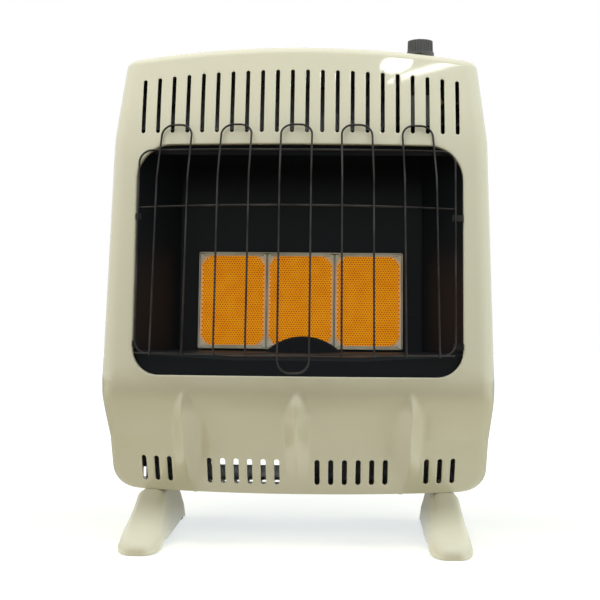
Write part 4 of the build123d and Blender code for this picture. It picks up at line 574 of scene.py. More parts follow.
# ---------------------------------------------------------------- casing
@dataclass
class Casing:
    """Enamelled cabinet sheet, made as the real one is: punched flat, pressed over its form and folded.

    A point of the flat blank has a place along the sheet (x in front, then round the corner, then along the
    side) and a height. Sizes are in millimetres.
    """

    crease_y: float = -141.5
    rear: float = 235.0
    sheet: float = 1.2
    bottom: float = 68.6
    crease_z: float = 202.0
    break_z: float = 552.0
    lean: float = 5.25
    top_lean: float = 13.0
    undercut: float = 29.2
    crown_z: float = 671.0
    crown_radius: float = 1765.0
    bow: float = 1357.0
    low_bow: float = 554.0
    side_half: float = 260.0
    shoulder_half: float = 252.0
    top_half: float = 239.0
    corner: float = 24.0
    foot_radius: float = 30.0
    edge: float = 12.0
    front_end: float = 220.0  # blank: end of the front
    corner_end: float = 280.0  # blank: end of the corner
    side_end: float = 480.0  # blank: rear edge
    top_row: float = 640.0  # blank: last level row; the rows above it form the top bend
    bend_rows: int = 8
    rim: float = 0.55  # radius of the cut edges
    lip: float = 10.0  # depth of the fold round the opening
    fold: float = 1.4
    crease_blend: float = 26.0  # half the height in which the front turns at the crease
    break_blend: float = 40.0  # and at the upper break
    bow_run: float = 60.0  # height below the crease in which the bow tightens
    widest_z: float = 220.0  # the sides lean in from here up
    shoulder_z: float = 545.0  # and lean in more from here up
    top_run: float = 110.0  # height in which they reach the top's half width
    rib_centres: tuple[float, ...] = (-148.5, 0.0, 148.5)
    rib_levels: tuple[tuple[float, float, float], ...] = (  # height, half width, how proud
        (82, 8.0, 0.0),
        (93, 12.5, 2.4),
        (106, 15.0, 7.4),
        (122, 15.8, 11.6),
        (142, 15.8, 14.4),
        (162, 15.8, 14.8),
        (178, 15.2, 12.4),
        (190, 12.2, 8.2),
        (199, 7.8, 3.8),
        (207, 3.5, 0.0),
    )
    rib_end: float = 1.35  # where a rib has run out, as a share of its half width
    rib_fade: float = 0.15  # share of the half width in which it runs out
    rib_ridge: float = 0.002  # roundness of its ridge
    rib_lift: float = 0.045  # what brings the rounded ridge back to its height
    rib_hem: float = 0.008  # roundness of its foot
    rib_turn: float = 0.158  # sideways share of an outer rib's height
    middle_half: float = 70.0  # the middle rib lies within this
    lead: float = 0.93  # place of the first row above the level ones, as a share of the way to the bend
    column_step: float = 5.0
    rib_step: float = 2.0  # closer columns over the ribs
    rib_columns: int = 9  # number of them on each side of a rib's centre
    side_step: float = 25.0
    closest: float = 0.9  # of two columns nearer than this only one stays
    bands: tuple[tuple[float, float, int], ...] = (  # level rows: lowest, step, number
        (102.5, 3.9, 34),
        (240.0, 12.0, 23),
        (512.0, 6.4, 20),
    )
    window: tuple[float, float, float] = (217.3, 229.0, 535.0)  # half width, lower and upper edge
    window_radii: tuple[float, float] = (46.0, 35.0)  # upper and lower corners
    heat_slots: int = 22
    heat_pitch: float = 20.0
    heat_ends: tuple[float, float] = (551.0, 638.0)  # the upper ends follow the crown down to the sides
    heat_width: float = 5.5
    air_groups: tuple[tuple[float, int], ...] = ((26.8, 6), (173.6, 3))  # first slot, number, on each side
    air_pitch: float = 18.2
    air_ends: tuple[float, float] = (82.0, 117.4)
    air_width: float = 7.0
    punch_depth: float = 8.0
    near: float = 0.2  # how exactly the edge of the opening is found
    merge: float = 0.45  # points of the blank nearer than this become one
    sliver: float = 0.3  # faces thinner than this go
    flange_half: float = 165.0  # hole in the bottom flange
    flange_depth: float = 118.0  # front edge of that hole
    flange_inset: float = 0.9985  # keeps the flange just inside the sheet

    # -------------------------------- form
    def soft_corner(self, z: float, corner: float, blend: float, below: float, above: float) -> float:
        """Depth gained from a corner on, with the slopes below and above it blended.

        Args:
            z: the height.
            corner: height of the corner.
            blend: half the height in which the slope changes.
            below: slope below the corner.
            above: slope above it.

        Returns:
            The depth, from the corner's.
        """
        run = z - corner
        if abs(run) >= blend:
            return run * (above if run > 0 else below)
        return below * run + (above - below) * (run + blend) ** 2 / (4 * blend)

    def front_depth(self, z: float) -> float:
        """Depth of the front on its centre line.

        Args:
            z: the height.

        Returns:
            The depth behind the crease.
        """
        middle = math.tan(math.radians(self.lean))
        high = math.tan(math.radians(self.top_lean))
        under = -math.tan(math.radians(self.undercut))
        low = self.soft_corner(z, self.crease_z, self.crease_blend, under, middle)
        return low + self.soft_corner(z, self.break_z, self.break_blend, 0, high - middle)

    def bow_radius(self, z: float) -> float:
        """Radius of the front's bow in plan at a height."""
        share = min(1.0, max(0.0, (self.crease_z - z) / self.bow_run))
        return 1 / ((1 - share) / self.bow + share / self.low_bow)

    def half_width(self, z: float) -> float:
        """Half width of the casing.

        Args:
            z: the height.

        Returns:
            The half width there.
        """
        corner_z = self.bottom + self.foot_radius
        if z < corner_z:
            rise = math.sqrt(max(0, self.foot_radius**2 - (corner_z - z) ** 2))
            return self.side_half - self.foot_radius + rise
        if z < self.widest_z:
            return self.side_half
        if z < self.shoulder_z:
            taper = (self.side_half - self.shoulder_half) * (z - self.widest_z)
            return self.side_half - taper / (self.shoulder_z - self.widest_z)
        taper = (self.shoulder_half - self.top_half) * (z - self.shoulder_z)
        return self.shoulder_half - taper / self.top_run

    def eased(self, levels: Sequence[Sequence[float]], at: int, z: float, item: int) -> float:
        """Value between two levels on a smooth curve through all of them.

        Args:
            levels: rows that start with a height.
            at: index of the row below z.
            z: the height.
            item: which value of the rows.

        Returns:
            The value at z.
        """
        last = len(levels) - 1
        low, high = levels[at], levels[at + 1]
        gap = high[0] - low[0]
        slopes = []
        for k in (at, at + 1):
            a, b = levels[max(0, k - 1)], levels[min(last, k + 1)]
            slopes.append((b[item] - a[item]) / (b[0] - a[0]) * gap)
        t = (z - low[0]) / gap
        start, end = low[item], high[item]
        keep = (2 * t**3 - 3 * t**2 + 1) * start + (3 * t**2 - 2 * t**3) * end
        return max(0.0, keep + (t**3 - 2 * t**2 + t) * slopes[0] + (t**3 - t**2) * slopes[1])

    def rib_height(self, x: float, z: float) -> float:
        """How proud of the bowed front the pressed ribs stand.

        Args:
            x: place along the front.
            z: the height.

        Returns:
            The height over the front, which is 0 beside the ribs.
        """
        levels = self.rib_levels
        if not levels[0][0] < z < levels[-1][0]:
            return 0.0
        at = max(k for k, level in enumerate(levels[:-1]) if level[0] <= z)
        half, proud = (self.eased(levels, at, z, item) for item in (1, 2))
        run = min(abs(x - centre) for centre in self.rib_centres) / half
        if run > self.rib_end:
            return 0.0
        tent = 1 - math.sqrt(run**2 + self.rib_ridge) + self.rib_lift
        soft = (tent + math.sqrt(tent**2 + self.rib_hem)) / 2
        return proud * soft * min(1.0, (self.rib_end - run) / self.rib_fade)

    def outline(self, s: float, z: float) -> Vector:
        """Point of the form on its level section at a height.

        Args:
            s: place along the sheet.
            z: the height.

        Returns:
            The point.
        """
        half, bow, front = self.half_width(z), self.bow_radius(z), self.front_depth(z)
        side, along = (1 if s >= 0 else -1), abs(s)
        hub = half - self.corner
        turn_x = hub * bow / (bow - self.corner)
        hub_depth = front + bow - math.sqrt((bow - self.corner) ** 2 - hub**2)
        if turn_x > self.front_end:
            start = math.asin(turn_x / bow)
        else:
            start = math.asin((self.front_end - hub) / self.corner)
        straight = max(0.0, turn_x - self.front_end)
        if along > self.corner_end:
            share = (along - self.corner_end) / (self.side_end - self.corner_end)
            return Vector((side * half, self.crease_y + hub_depth + (self.rear - hub_depth) * share, z))
        if along > self.front_end:
            share = (along - self.front_end) / (self.corner_end - self.front_end)
            run = share * (straight + self.corner * (math.pi / 2 - start))
            if run > straight:
                angle = start + (run - straight) / self.corner
                x, depth = hub + self.corner * math.sin(angle), hub_depth - self.corner * math.cos(angle)
                return Vector((side * x, self.crease_y + depth, z))
            along = self.front_end + run
        if along > turn_x:
            angle = math.asin((along - hub) / self.corner)
            depth = hub_depth - self.corner * math.cos(angle)
        else:
            depth = front + bow - math.sqrt(bow**2 - along**2)
        rib = self.rib_height(s, z)
        turn = 0.0 if along < self.middle_half else self.rib_turn * side
        return Vector((side * along + rib * turn, self.crease_y + depth - rib, z))

    def press(self, s: float, v: float) -> Vector:
        """Place that a point of the flat blank takes on the form.

        Args:
            s: place along the sheet.
            v: height on the blank.

        Returns:
            The place.
        """
        if v <= self.top_row:
            return self.outline(s, v)
        above, beside = 6.0, 0.5  # where the sheet's directions at the last level row are taken
        base = self.outline(s, self.top_row)
        rise = (self.outline(s, self.top_row + above) - base).normalized()
        step = beside if s < self.side_end - 1 else -beside
        along = (self.outline(s + step, self.top_row) - base).normalized() * (1 if step > 0 else -1)
        out = along.cross(rise).normalized()
        hub_z = self.crown_z - self.crown_radius
        travel = 0.0
        for _ in range(6):  # each round brings the bend's centre nearer to its place under the crown
            hub = base + rise * travel - out * self.edge
            radial = Vector((hub.x, 0, hub.z - hub_z))
            travel += (self.crown_radius - self.edge - radial.length) / rise.dot(radial.normalized())
        hub = base + rise * travel - out * self.edge
        up = Vector((hub.x, 0, hub.z - hub_z)).normalized()
        row = v - self.top_row
        if row <= 2:
            return base + rise * travel * (self.lead if row < 2 else 1.0)
        return hub + out.slerp(up, (row - 2) / (self.bend_rows - 2)) * self.edge

    # -------------------------------- blank
    def columns(self) -> list[float]:
        """Places of the blank's columns along the sheet.

        Returns:
            The places, from one rear edge round the front to the other.
        """
        half = round(self.front_end / self.column_step)
        front = [self.column_step * k for k in range(-half, half + 1)]
        for centre in self.rib_centres:
            front += [centre + self.rib_step * k for k in range(-self.rib_columns, self.rib_columns + 1)]
        front = sorted(front)
        front = [a for a, b in zip(front, front[1:] + [math.inf]) if b - a > self.closest]
        corner = round((self.corner_end - self.front_end) / self.column_step)
        side = round((self.side_end - self.corner_end) / self.side_step)
        ends = [self.front_end + self.column_step * (k + 1) for k in range(corner)]
        ends += [self.corner_end + self.side_step * (k + 1) for k in range(side)]
        return [-s for s in reversed(ends)] + front + ends

    def rows(self) -> list[float]:
        """Heights of the blank's rows.

        Returns:
            The heights, the rows of the top bend last.
        """
        roll = [self.bottom + self.foot_radius * (1 - math.cos(math.radians(a))) for a in range(0, 91, 10)]
        level = [low + step * k for low, step, number in self.bands for k in range(number)]
        return roll + level + [self.top_row + k for k in range(self.bend_rows + 1)]

    def punch(self, x: float, low: float, high: float, width: float) -> Object:
        """Slot-shaped punch through the blank.

        Args:
            x: place of the slot's centre line.
            low: its lower end.
            high: its upper end.
            width: its width.

        Returns:
            The punch.
        """
        deselect()
        centre = (x, low + width / 2, 0)
        bpy.ops.mesh.primitive_cylinder_add(
            vertices=24, radius=width / 2, depth=self.punch_depth, location=centre
        )
        tool = bpy.context.object
        bpy.ops.object.mode_set(mode="EDIT")
        cage = bmesh.from_edit_mesh(tool.data)
        bpy.ops.mesh.select_all(action="DESELECT")
        for vertex in cage.verts:
            vertex.select_set(vertex.co.y > 0.01)
        cage.select_flush(True)
        bmesh.update_edit_mesh(tool.data)
        bpy.ops.transform.translate(value=(0, high - low - width, 0))
        bpy.ops.object.mode_set(mode="OBJECT")
        return tool

    def window_punch(self) -> Object:
        """Punch of the front opening, with its rounded corners.

        Returns:
            The punch.
        """
        half, low, high = self.window
        middle = (low + high) / 2
        deselect()
        bpy.ops.mesh.primitive_cube_add(
            size=1, location=(0, middle, 0), scale=(2 * half, high - low, self.punch_depth)
        )
        tool = bpy.context.object
        bpy.ops.object.transform_apply(location=True, scale=True)
        bpy.ops.object.mode_set(mode="EDIT")
        for side, radius in zip((1, -1), self.window_radii):
            cage = bmesh.from_edit_mesh(tool.data)
            bpy.ops.mesh.select_mode(type="EDGE")
            bpy.ops.mesh.select_all(action="DESELECT")
            for edge in cage.edges:
                a, b = (vertex.co for vertex in edge.verts)
                through = abs(a.z - b.z) > 1 and abs(a.x) > half - 1
                edge.select_set(through and (a.y - middle) * side > 1)
            bmesh.update_edit_mesh(tool.data)
            bpy.ops.mesh.bevel(offset=radius, segments=14)
        bpy.ops.object.mode_set(mode="OBJECT")
        return tool

    def punches(self) -> Object:
        """All punches as one tool.

        Returns:
            The tool.
        """
        tools = [self.window_punch()]
        low, high = self.heat_ends
        for k in range(self.heat_slots):
            x = (k - (self.heat_slots - 1) / 2) * self.heat_pitch
            tools.append(self.punch(x, low, high - x**2 / (2 * self.crown_radius), self.heat_width))
        for first, number in self.air_groups:
            for x in [first + self.air_pitch * k for k in range(number)]:
                tools += [self.punch(side * x, *self.air_ends, self.air_width) for side in (-1, 1)]
        tool = weld(tools)
        bpy.ops.object.transform_apply(location=True, rotation=True, scale=True)
        return tool

    def blank(self) -> Object:
        """Flat punched blank, as a skin.

        Returns:
            The blank.
        """
        columns, rows = self.columns(), self.rows()
        deselect()
        bpy.ops.mesh.primitive_grid_add(x_subdivisions=len(columns) - 1, y_subdivisions=len(rows) - 1, size=2)
        skin = bpy.context.object
        for vertex in skin.data.vertices:
            column = round((vertex.co.x + 1) / 2 * (len(columns) - 1))
            row = round((vertex.co.y + 1) / 2 * (len(rows) - 1))
            vertex.co = (columns[column], rows[row], 1.0)
        bpy.ops.object.mode_set(mode="EDIT")
        bpy.ops.mesh.select_all(action="SELECT")
        bpy.ops.mesh.extrude_region_move(TRANSFORM_OT_translate={"value": (0, 0, -2)})
        bpy.ops.mesh.select_all(action="SELECT")
        bpy.ops.mesh.normals_make_consistent(inside=False)
        bpy.ops.object.mode_set(mode="OBJECT")
        tool = self.punches()
        modify(skin, "BOOLEAN", operation="DIFFERENCE", solver="EXACT", object=tool)
        bpy.data.objects.remove(tool)
        bpy.ops.object.mode_set(mode="EDIT")
        bpy.ops.mesh.select_mode(type="FACE")
        pick(skin, lambda face: min(v.co.z for v in face.verts) < 0.99)  # all but the upper side
        bpy.ops.mesh.delete(type="FACE")
        bpy.ops.mesh.select_all(action="SELECT")
        bpy.ops.mesh.remove_doubles(threshold=self.merge)
        bpy.ops.mesh.dissolve_degenerate(threshold=self.sliver)
        bpy.ops.object.mode_set(mode="OBJECT")
        return skin

    # -------------------------------- pressing and folding
    def crown(self, cage: bmesh.types.BMesh, ring: dict[float, bmesh.types.BMVert]) -> None:
        """Closes the top over the ring of the bend's last row.

        Args:
            cage: the pressed mesh.
            ring: the ring's vertices by their place along the sheet.
        """
        places = sorted(ring)
        front = [s for s in places if abs(s) <= self.corner_end + 0.1]
        sides = {-1: [s for s in reversed(places) if s < front[0]], 1: [s for s in places if s > front[-1]]}
        rear = {}
        for s in front:
            if s == front[0] or s == front[-1]:
                rear[s] = ring[sides[1 if s > 0 else -1][-1]]
            else:
                x, _, z = ring[s].co
                rear[s] = cage.verts.new((x, self.crease_y + self.rear, z))
        for a, b in zip(front, front[1:]):
            loop = [ring[a], ring[b]]
            if b == front[-1]:
                loop += [ring[s] for s in sides[1]]
            else:
                loop.append(rear[b])
            if a == front[0]:
                loop += [ring[s] for s in reversed(sides[-1])]
            else:
                loop.append(rear[a])
            cage.faces.new(loop)

    def build(self, enamel: Material, rim: Material) -> Object:
        """Models the casing.

        Args:
            enamel: finish of the sheet.
            rim: paler finish of its cut edges, a painted highlight along them.

        Returns:
            The casing.
        """
        shell = self.blank()
        cage = bmesh.new()
        cage.from_mesh(shell.data)
        top = self.top_row + self.bend_rows
        ring = {round(v.co.x, 3): v for v in cage.verts if v.co.y > top - 0.01}
        half, low, high = self.window
        hem = set()
        for vertex in cage.verts:
            x, y, _ = vertex.co
            if vertex.is_boundary and abs(x) < half + self.near and low - self.near < y < high + self.near:
                hem.add(vertex)
        for vertex in cage.verts:
            vertex.co = self.press(vertex.co.x, vertex.co.y)
        self.crown(cage, ring)
        face_outwards(cage)
        edges = [e for e in cage.edges if e.is_boundary and e.verts[0] in hem and e.verts[1] in hem]
        folded = bmesh.ops.extrude_edge_only(cage, edges=edges)["geom"]
        for item in folded:
            if isinstance(item, bmesh.types.BMVert):
                item.co.y += self.lip
        bmesh.ops.recalc_face_normals(cage, faces=cage.faces)
        bmesh.ops.bevel(cage, geom=edges, offset=self.fold, segments=3, profile=0.5, affect="EDGES")
        cage.to_mesh(shell.data)
        cage.free()
        shell.data.transform(Matrix.Scale(MM, 4))
        shell.data.update()
        dress(shell, enamel, rim)
        modify(shell, "SOLIDIFY", thickness=self.sheet * MM, offset=-1, use_even_offset=True)
        # the bevelled cut edges take the paler second finish: a painted highlight along them
        modify(shell, "BEVEL", width=self.rim * MM, segments=2, angle_limit=math.radians(50), material=1)
        self.flange(shell)
        bpy.ops.object.shade_smooth_by_angle(angle=math.radians(40))
        settle(shell, "casing_shell")
        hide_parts("front_casing")
        return shell

    def flange(self, shell: Object) -> None:
        """Adds the bottom flange that carries the base panel and joins it to the shell.

        Args:
            shell: the casing's shell, which is left selected.
        """
        half, front = self.flange_half, self.flange_depth
        edge = [self.outline(s, self.bottom + 0.01) * self.flange_inset for s in self.columns()]
        inner = [(half, self.rear), (half, front), (-half, front), (-half, self.rear)]
        points = [(p.x, p.y) for p in edge] + [(x, self.crease_y + depth) for x, depth in inner]
        cage = bmesh.new()
        under, upper = (
            [cage.verts.new(Vector((x, y, z)) * MM) for x, y in points]
            for z in (self.bottom, self.bottom + self.sheet)
        )
        cage.faces.new(under)
        cage.faces.new(upper)
        for k in range(len(points)):
            n = (k + 1) % len(points)
            cage.faces.new((under[k], under[n], upper[n], upper[k]))
        bmesh.ops.recalc_face_normals(cage, faces=cage.faces)
        weld([shell, from_cage("flange", cage)])


# ---------------------------------------------------------------- feet and cups
@dataclass
class Foot:
    """Moulded hollow foot: rounded toe, sloping instep, flat seat under the cabinet, open arched underside.

    Sizes are in millimetres, and depths are measured from the casing's crease.
    """

    centre_x: float = 201.0
    crease_y: float = -141.5
    draft: float = math.tan(math.radians(8))
    edge: float = 13.0
    wall: float = 2.0
    tuck: float = 6.0  # how far the toe's lower edge is drawn in
    tuck_end: float = 60.0  # depth at which it is no longer drawn in
    tuck_fade: float = 30.0  # run in which the tuck fades out
    tuck_half: float = 26.0  # half width from which the toe has its full tuck
    flare: tuple[tuple[float, float], ...] = (  # share of the side's height, share of the tuck there
        (0.14, 0.42),
        (0.36, 0.08),
        (0.67, 0.0),
    )
    arc: int = 7  # steps of the rounded shoulder
    seat: float = 68.0  # sections lower than this are slightly crowned
    skirt: tuple[tuple[float, float], ...] = (  # depth, height of the lower edge
        (-28, 0.6),
        (24, 0.6),
        (40, 9.0),
        (268, 9.0),
        (280, 5.0),
        (317, 5.0),
    )
    stations: tuple[tuple[float, float, float], ...] = (  # depth, half width at the floor, height
        (-28, 8.0, 6.0),
        (-27.4, 12.0, 9.0),
        (-25.8, 15.6, 12.2),
        (-22.8, 19.2, 15.4),
        (-18.5, 22.6, 18.4),
        (-13.5, 25.2, 21.0),
        (-8, 27.2, 23.4),
        (0, 28.8, 26.2),
        (8, 29.5, 28.5),
        (20, 29.9, 31.4),
        (32, 30.1, 34.4),
        (44, 29.9, 38.0),
        (56, 29.7, 42.0),
        (68, 29.6, 46.4),
        (80, 29.5, 51.8),
        (90, 29.3, 57.4),
        (98, 29.1, 63.2),
        (104, 29.0, 68.4),
        (112, 28.9, 68.4),
        (234, 26.0, 68.4),
        (241, 25.8, 67.4),
        (262, 25.2, 62.8),
        (292, 24.0, 51.8),
        (304, 23.4, 45.6),
        (311, 22.6, 41.4),
        (314.6, 21.4, 38.4),
        (316, 19.6, 35.6),
    )

    def base(self, depth: float) -> float:
        """Height of the skirt's lower edge.

        Args:
            depth: the depth.

        Returns:
            The height there.
        """
        for (start, low), (end, high) in zip(self.skirt, self.skirt[1:]):
            if depth <= end:
                return low + (high - low) * max(0.0, depth - start) / (end - start)
        return self.skirt[-1][1]

    def section(self, depth: float, half: float, height: float) -> list[Vector]:
        """Cross-section of the foot.

        Args:
            depth: its depth.
            half: its half width at the floor.
            height: its height.

        Returns:
            Its points, from the left skirt over the top to the right skirt.
        """
        base = self.base(depth)
        edge = min(self.edge, 0.7 * (height - base), 0.6 * half)  # smaller where the foot is low or narrow
        hub_x, hub_z = half - height * self.draft - edge, height - edge
        tuck = self.tuck * min(1.0, max(0.0, (self.tuck_end - depth) / self.tuck_fade))
        tuck *= min(1.0, half / self.tuck_half)
        right = [(half - base * self.draft - tuck, base)]
        for share, inward in self.flare:
            z = base + (hub_z - base) * share
            right.append((half - z * self.draft - tuck * inward, z))
        for k in range(self.arc + 1):
            angle = math.radians(90 * k / self.arc)
            right.append((hub_x + edge * math.cos(angle), hub_z + edge * math.sin(angle)))
        shoulder, crown = (0.3, 0.4) if height < self.seat else (0.0, 0.0)
        right.append((hub_x / 2, height + shoulder))
        points = [(-x, z) for x, z in right] + [(0.0, height + crown)] + list(reversed(right))
        return [Vector((self.centre_x + x, self.crease_y + depth, z)) * MM for x, z in points]

    def build(self) -> list[Object]:
        """Models the right foot and mirrors a copy of it for the left.

        Returns:
            The right and the left foot.
        """
        cage = bmesh.new()
        rings = [[cage.verts.new(point) for point in self.section(*station)] for station in self.stations]
        for near, far in zip(rings, rings[1:]):
            for k in range(len(near) - 1):
                cage.faces.new((near[k], near[k + 1], far[k + 1], far[k]))
        for ring in (rings[0], rings[-1]):
            cage.faces.new(ring)
        face_outwards(cage)
        right = from_cage("right_foot_moulding", cage)
        modify(right, "SOLIDIFY", thickness=self.wall * MM, offset=-1)
        bpy.ops.object.shade_smooth_by_angle(angle=math.radians(35))
        left = add_object("left_foot_moulding", right.data.copy())
        left.data.transform(Matrix.Scale(-1, 4, Vector((1, 0, 0))))
        left.data.flip_normals()
        for foot, node in ((right, "right_foot"), (left, "left_foot")):
            settle(foot, foot.name)
            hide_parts(node)
        return [right, left]


@dataclass
class KeyholeCup:
    """Pressed cup over each hanging keyhole, which keeps the wall screw's head off what is inside.

    Sizes are in millimetres.
    """

    place: tuple[float, float, float] = (190.0, 91.0, 602.0)
    radius: float = 15.0
    depth: float = 9.0
    wall: float = 0.7
    rounding: float = 3.0

    def build(self) -> Object:
        """Models the two cups.

        Returns:
            Both as one piece.
        """
        cups = []
        for side in (1, -1):
            x, y, z = self.place
            deselect()
            bpy.ops.mesh.primitive_cylinder_add(
                vertices=40,
                radius=self.radius * MM,
                depth=self.depth * MM,
                location=Vector((side * x, y - self.depth / 2, z)) * MM,
                rotation=(math.radians(90), 0, 0),
            )
            cup = bpy.context.object
            bpy.ops.object.transform_apply(location=True, rotation=True)
            bpy.ops.object.mode_set(mode="EDIT")
            pick(cup, lambda face: face.normal.y > 0.9)
            bpy.ops.mesh.delete(type="FACE")
            pick(cup, lambda face: face.normal.y < -0.9)
            bpy.ops.mesh.bevel(offset=self.rounding * MM, segments=4)
            bpy.ops.object.mode_set(mode="OBJECT")
            modify(cup, "SOLIDIFY", thickness=self.wall * MM, offset=-1)
            bpy.ops.object.shade_smooth_by_angle(angle=math.radians(35))
            cups.append(cup)
        return settle(weld(cups), "keyhole_cups")


# ---------------------------------------------------------------- knob spring
@dataclass
class ReturnSpring:
    """Coil spring between the valve bonnet and the spindle's collar, which the pressed knob shortens."""

    radius: float = 5.6 * MM
    wire: float = 0.6 * MM
    turns: int = 5
    steps: int = 32
    merge: float = 0.01 * MM
    travel: float = 4.0 * MM

    def build(self) -> Object:
        """Models the spring.

        Returns:
            The spring at its full length.
        """
        low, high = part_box("knob_spring")
        centre = (low + high) / 2
        rise = high.z - low.z - 2 * self.wire
        deselect()
        bpy.ops.mesh.primitive_circle_add(
            vertices=10,
            radius=self.wire,
            location=(self.radius, 0, 0),
            rotation=(math.radians(90), 0, 0),
            fill_type="NGON",
        )
        spring = bpy.context.object
        bpy.ops.object.transform_apply(location=True, rotation=True)
        modify(
            spring,
            "SCREW",
            axis="Z",
            screw_offset=rise / self.turns,
            iterations=self.turns,
            steps=self.steps,
            render_steps=self.steps,
        )
        spring.location = (centre.x, centre.y, low.z + self.wire)
        settle(spring, "return_spring")
        bpy.ops.object.mode_set(mode="EDIT")
        bpy.ops.mesh.select_all(action="SELECT")
        bpy.ops.mesh.remove_doubles(threshold=self.merge)
        bpy.ops.mesh.normals_make_consistent(inside=False)
        bpy.ops.object.mode_set(mode="OBJECT")
        bpy.ops.object.shade_smooth_by_angle(angle=math.radians(40))
        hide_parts("knob_spring")
        return spring

    def shorten(self, spring: Object) -> None:
        """Gives the spring a mesh of its own.

        Args:
            spring: the spring.
        """
        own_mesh(spring)


# ---------------------------------------------------------------- plaques
@dataclass
class Plaque:
    """Ceramic infrared plaque: a plain rim round a field of ports in a hexagonal lattice."""

    node: str
    rim_material: Material
    field_material: Material
    # darker finish of the port walls and floors: painted shade
    port_shade_material: Material
    lean: float = math.radians(5.25)
    thickness: float = 13.0 * MM
    pitch: float = 3.5 * MM
    port: float = 1.05 * MM  # corner radius of a port
    depth: float = 1.8 * MM
    taper: float = 0.86  # a port's floor against its mouth
    margin: float = 3.4 * MM  # plain rim outside the outermost ports
    corner: float = 9.5 * MM  # ports stop short of the corners by this
    proud: float = 0.5 * MM
    sunk: float = 0.6 * MM  # how far the face lies behind that of the plain slab
    under: float = 2.2 * MM  # how far the ported field's bed is wider than the field
    under_corner: float = 1.2 * MM  # and how much less it is cut at the corners
    bed: float = 0.3 * MM  # depth of the bed under the ports
    merge: float = 0.01 * MM

    def frame_of(self) -> tuple[Matrix, float, float]:
        """Finds the plaque's face.

        Returns:
            The place of the face, and its half width and half height.
        """
        low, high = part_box(self.node)
        up = Vector((0, math.sin(self.lean), math.cos(self.lean)))
        out = Vector((0, -math.cos(self.lean), math.sin(self.lean)))
        half_width = (high.x - low.x) / 2
        half_height = ((high.z - low.z) - self.thickness * math.sin(self.lean)) / (2 * math.cos(self.lean))
        centre = (low + high) / 2 + out * (self.thickness / 2 - self.sunk)
        place = Matrix((Vector((1, 0, 0)), up, out)).transposed().to_4x4()
        place.translation = centre
        return place, half_width, half_height

    def inside(self, x: float, y: float, half_width: float, half_height: float) -> bool:
        """True where the ported field reaches."""
        wide, high = half_width - self.margin, half_height - self.margin
        return abs(x) < wide and abs(y) < high and (wide - abs(x)) + (high - abs(y)) > self.corner

    def rim(self, place: Matrix, half_width: float, half_height: float) -> Object:
        """Slab behind the ports with the plain rim round them.

        Args:
            place: place of the plaque's face.
            half_width: half its width.
            half_height: half its height.

        Returns:
            The slab.
        """
        wide, high = half_width - self.margin + self.under, half_height - self.margin + self.under
        cut = self.corner - self.under_corner
        field = [(wide, high - cut), (wide - cut, high), (cut - wide, high), (-wide, high - cut)]
        field += [(-x, -y) for x, y in field]
        outer = [(half_width, half_height), (-half_width, half_height), (-half_width, -half_height)]
        outer.append((half_width, -half_height))
        mesh = bmesh.new()
        rings = {}
        for key, points, z in (
            ("back", outer, -self.thickness),
            ("front", outer, 0.0),
            ("hem", field, 0.0),
            ("floor", field, -self.depth - self.bed),
        ):
            rings[key] = [mesh.verts.new((x, y, z)) for x, y in points]
        mesh.faces.new(rings["back"])
        mesh.faces.new(rings["floor"])
        for key, inner, count in (("back", "front", 4), ("hem", "floor", 8)):
            for k in range(count):
                n = (k + 1) % count
                mesh.faces.new((rings[key][k], rings[key][n], rings[inner][n], rings[inner][k]))
        for k in range(4):
            n = (k + 1) % 4
            corner, other = rings["front"][k], rings["front"][n]
            hem = rings["hem"]
            mesh.faces.new((corner, hem[2 * k + 1], hem[2 * k]))
            mesh.faces.new((corner, other, hem[(2 * k + 2) % 8], hem[2 * k + 1]))
        bmesh.ops.recalc_face_normals(mesh, faces=mesh.faces)
        slab = from_cage(self.node + "_rim", mesh)
        slab.matrix_world = place
        return slab

    def port_cell(self, mesh: bmesh.types.BMesh, centre: Vector) -> None:
        """Adds one six-sided cell of the ported field, with its port.

        Args:
            mesh: what it is added to.
            centre: its centre on the face.
        """
        corners = [Vector((math.sin(a), math.cos(a), 0)) for a in (math.radians(60 * k) for k in range(6))]
        radius = self.pitch / math.sqrt(3)
        levels = (
            (radius, -self.depth - self.proud),
            (radius, self.proud),
            (self.port, self.proud),
            (self.port * self.taper, -self.depth),
        )
        rings = [[mesh.verts.new(centre + c * r + Vector((0, 0, z))) for c in corners] for r, z in levels]
        mesh.faces.new(rings[0])
        for k in range(6):
            n = (k + 1) % 6
            for near, far in zip(rings, rings[1:]):
                wall = mesh.faces.new((near[k], far[k], far[n], near[n]))
            # port walls and floors take the second, darker material: painted shade in the port
            wall.material_index = 1
        floor = mesh.faces.new(list(reversed(rings[3])))
        floor.material_index = 1

    def field(self, half_width: float, half_height: float) -> Object:
        """Ported field, one body without walls between its cells.

        Args:
            half_width: half the plaque's width.
            half_height: half its height.

        Returns:
            The field, with the ports in its second material slot.
        """
        mesh = bmesh.new()
        row_step = self.pitch * math.sqrt(3) / 2
        rows = int(half_height / row_step) + 1
        columns = int(half_width / self.pitch) + 1
        for row in range(-rows, rows + 1):
            for column in range(-columns, columns + 1):
                x, y = (column + (row % 2) / 2) * self.pitch, row * row_step
                if self.inside(x, y, half_width, half_height):
                    self.port_cell(mesh, Vector((x, y, 0)))
        bmesh.ops.remove_doubles(mesh, verts=mesh.verts, dist=self.merge)
        mesh.verts.index_update()
        keys: dict[tuple[int, ...], list[bmesh.types.BMFace]] = {}
        for face in mesh.faces:
            keys.setdefault(tuple(sorted(v.index for v in face.verts)), []).append(face)
        for twins in keys.values():  # the walls between two cells go
            if len(twins) > 1:
                for twin in twins:
                    mesh.faces.remove(twin)
        bmesh.ops.recalc_face_normals(mesh, faces=mesh.faces)
        return from_cage(self.node + "_field", mesh)

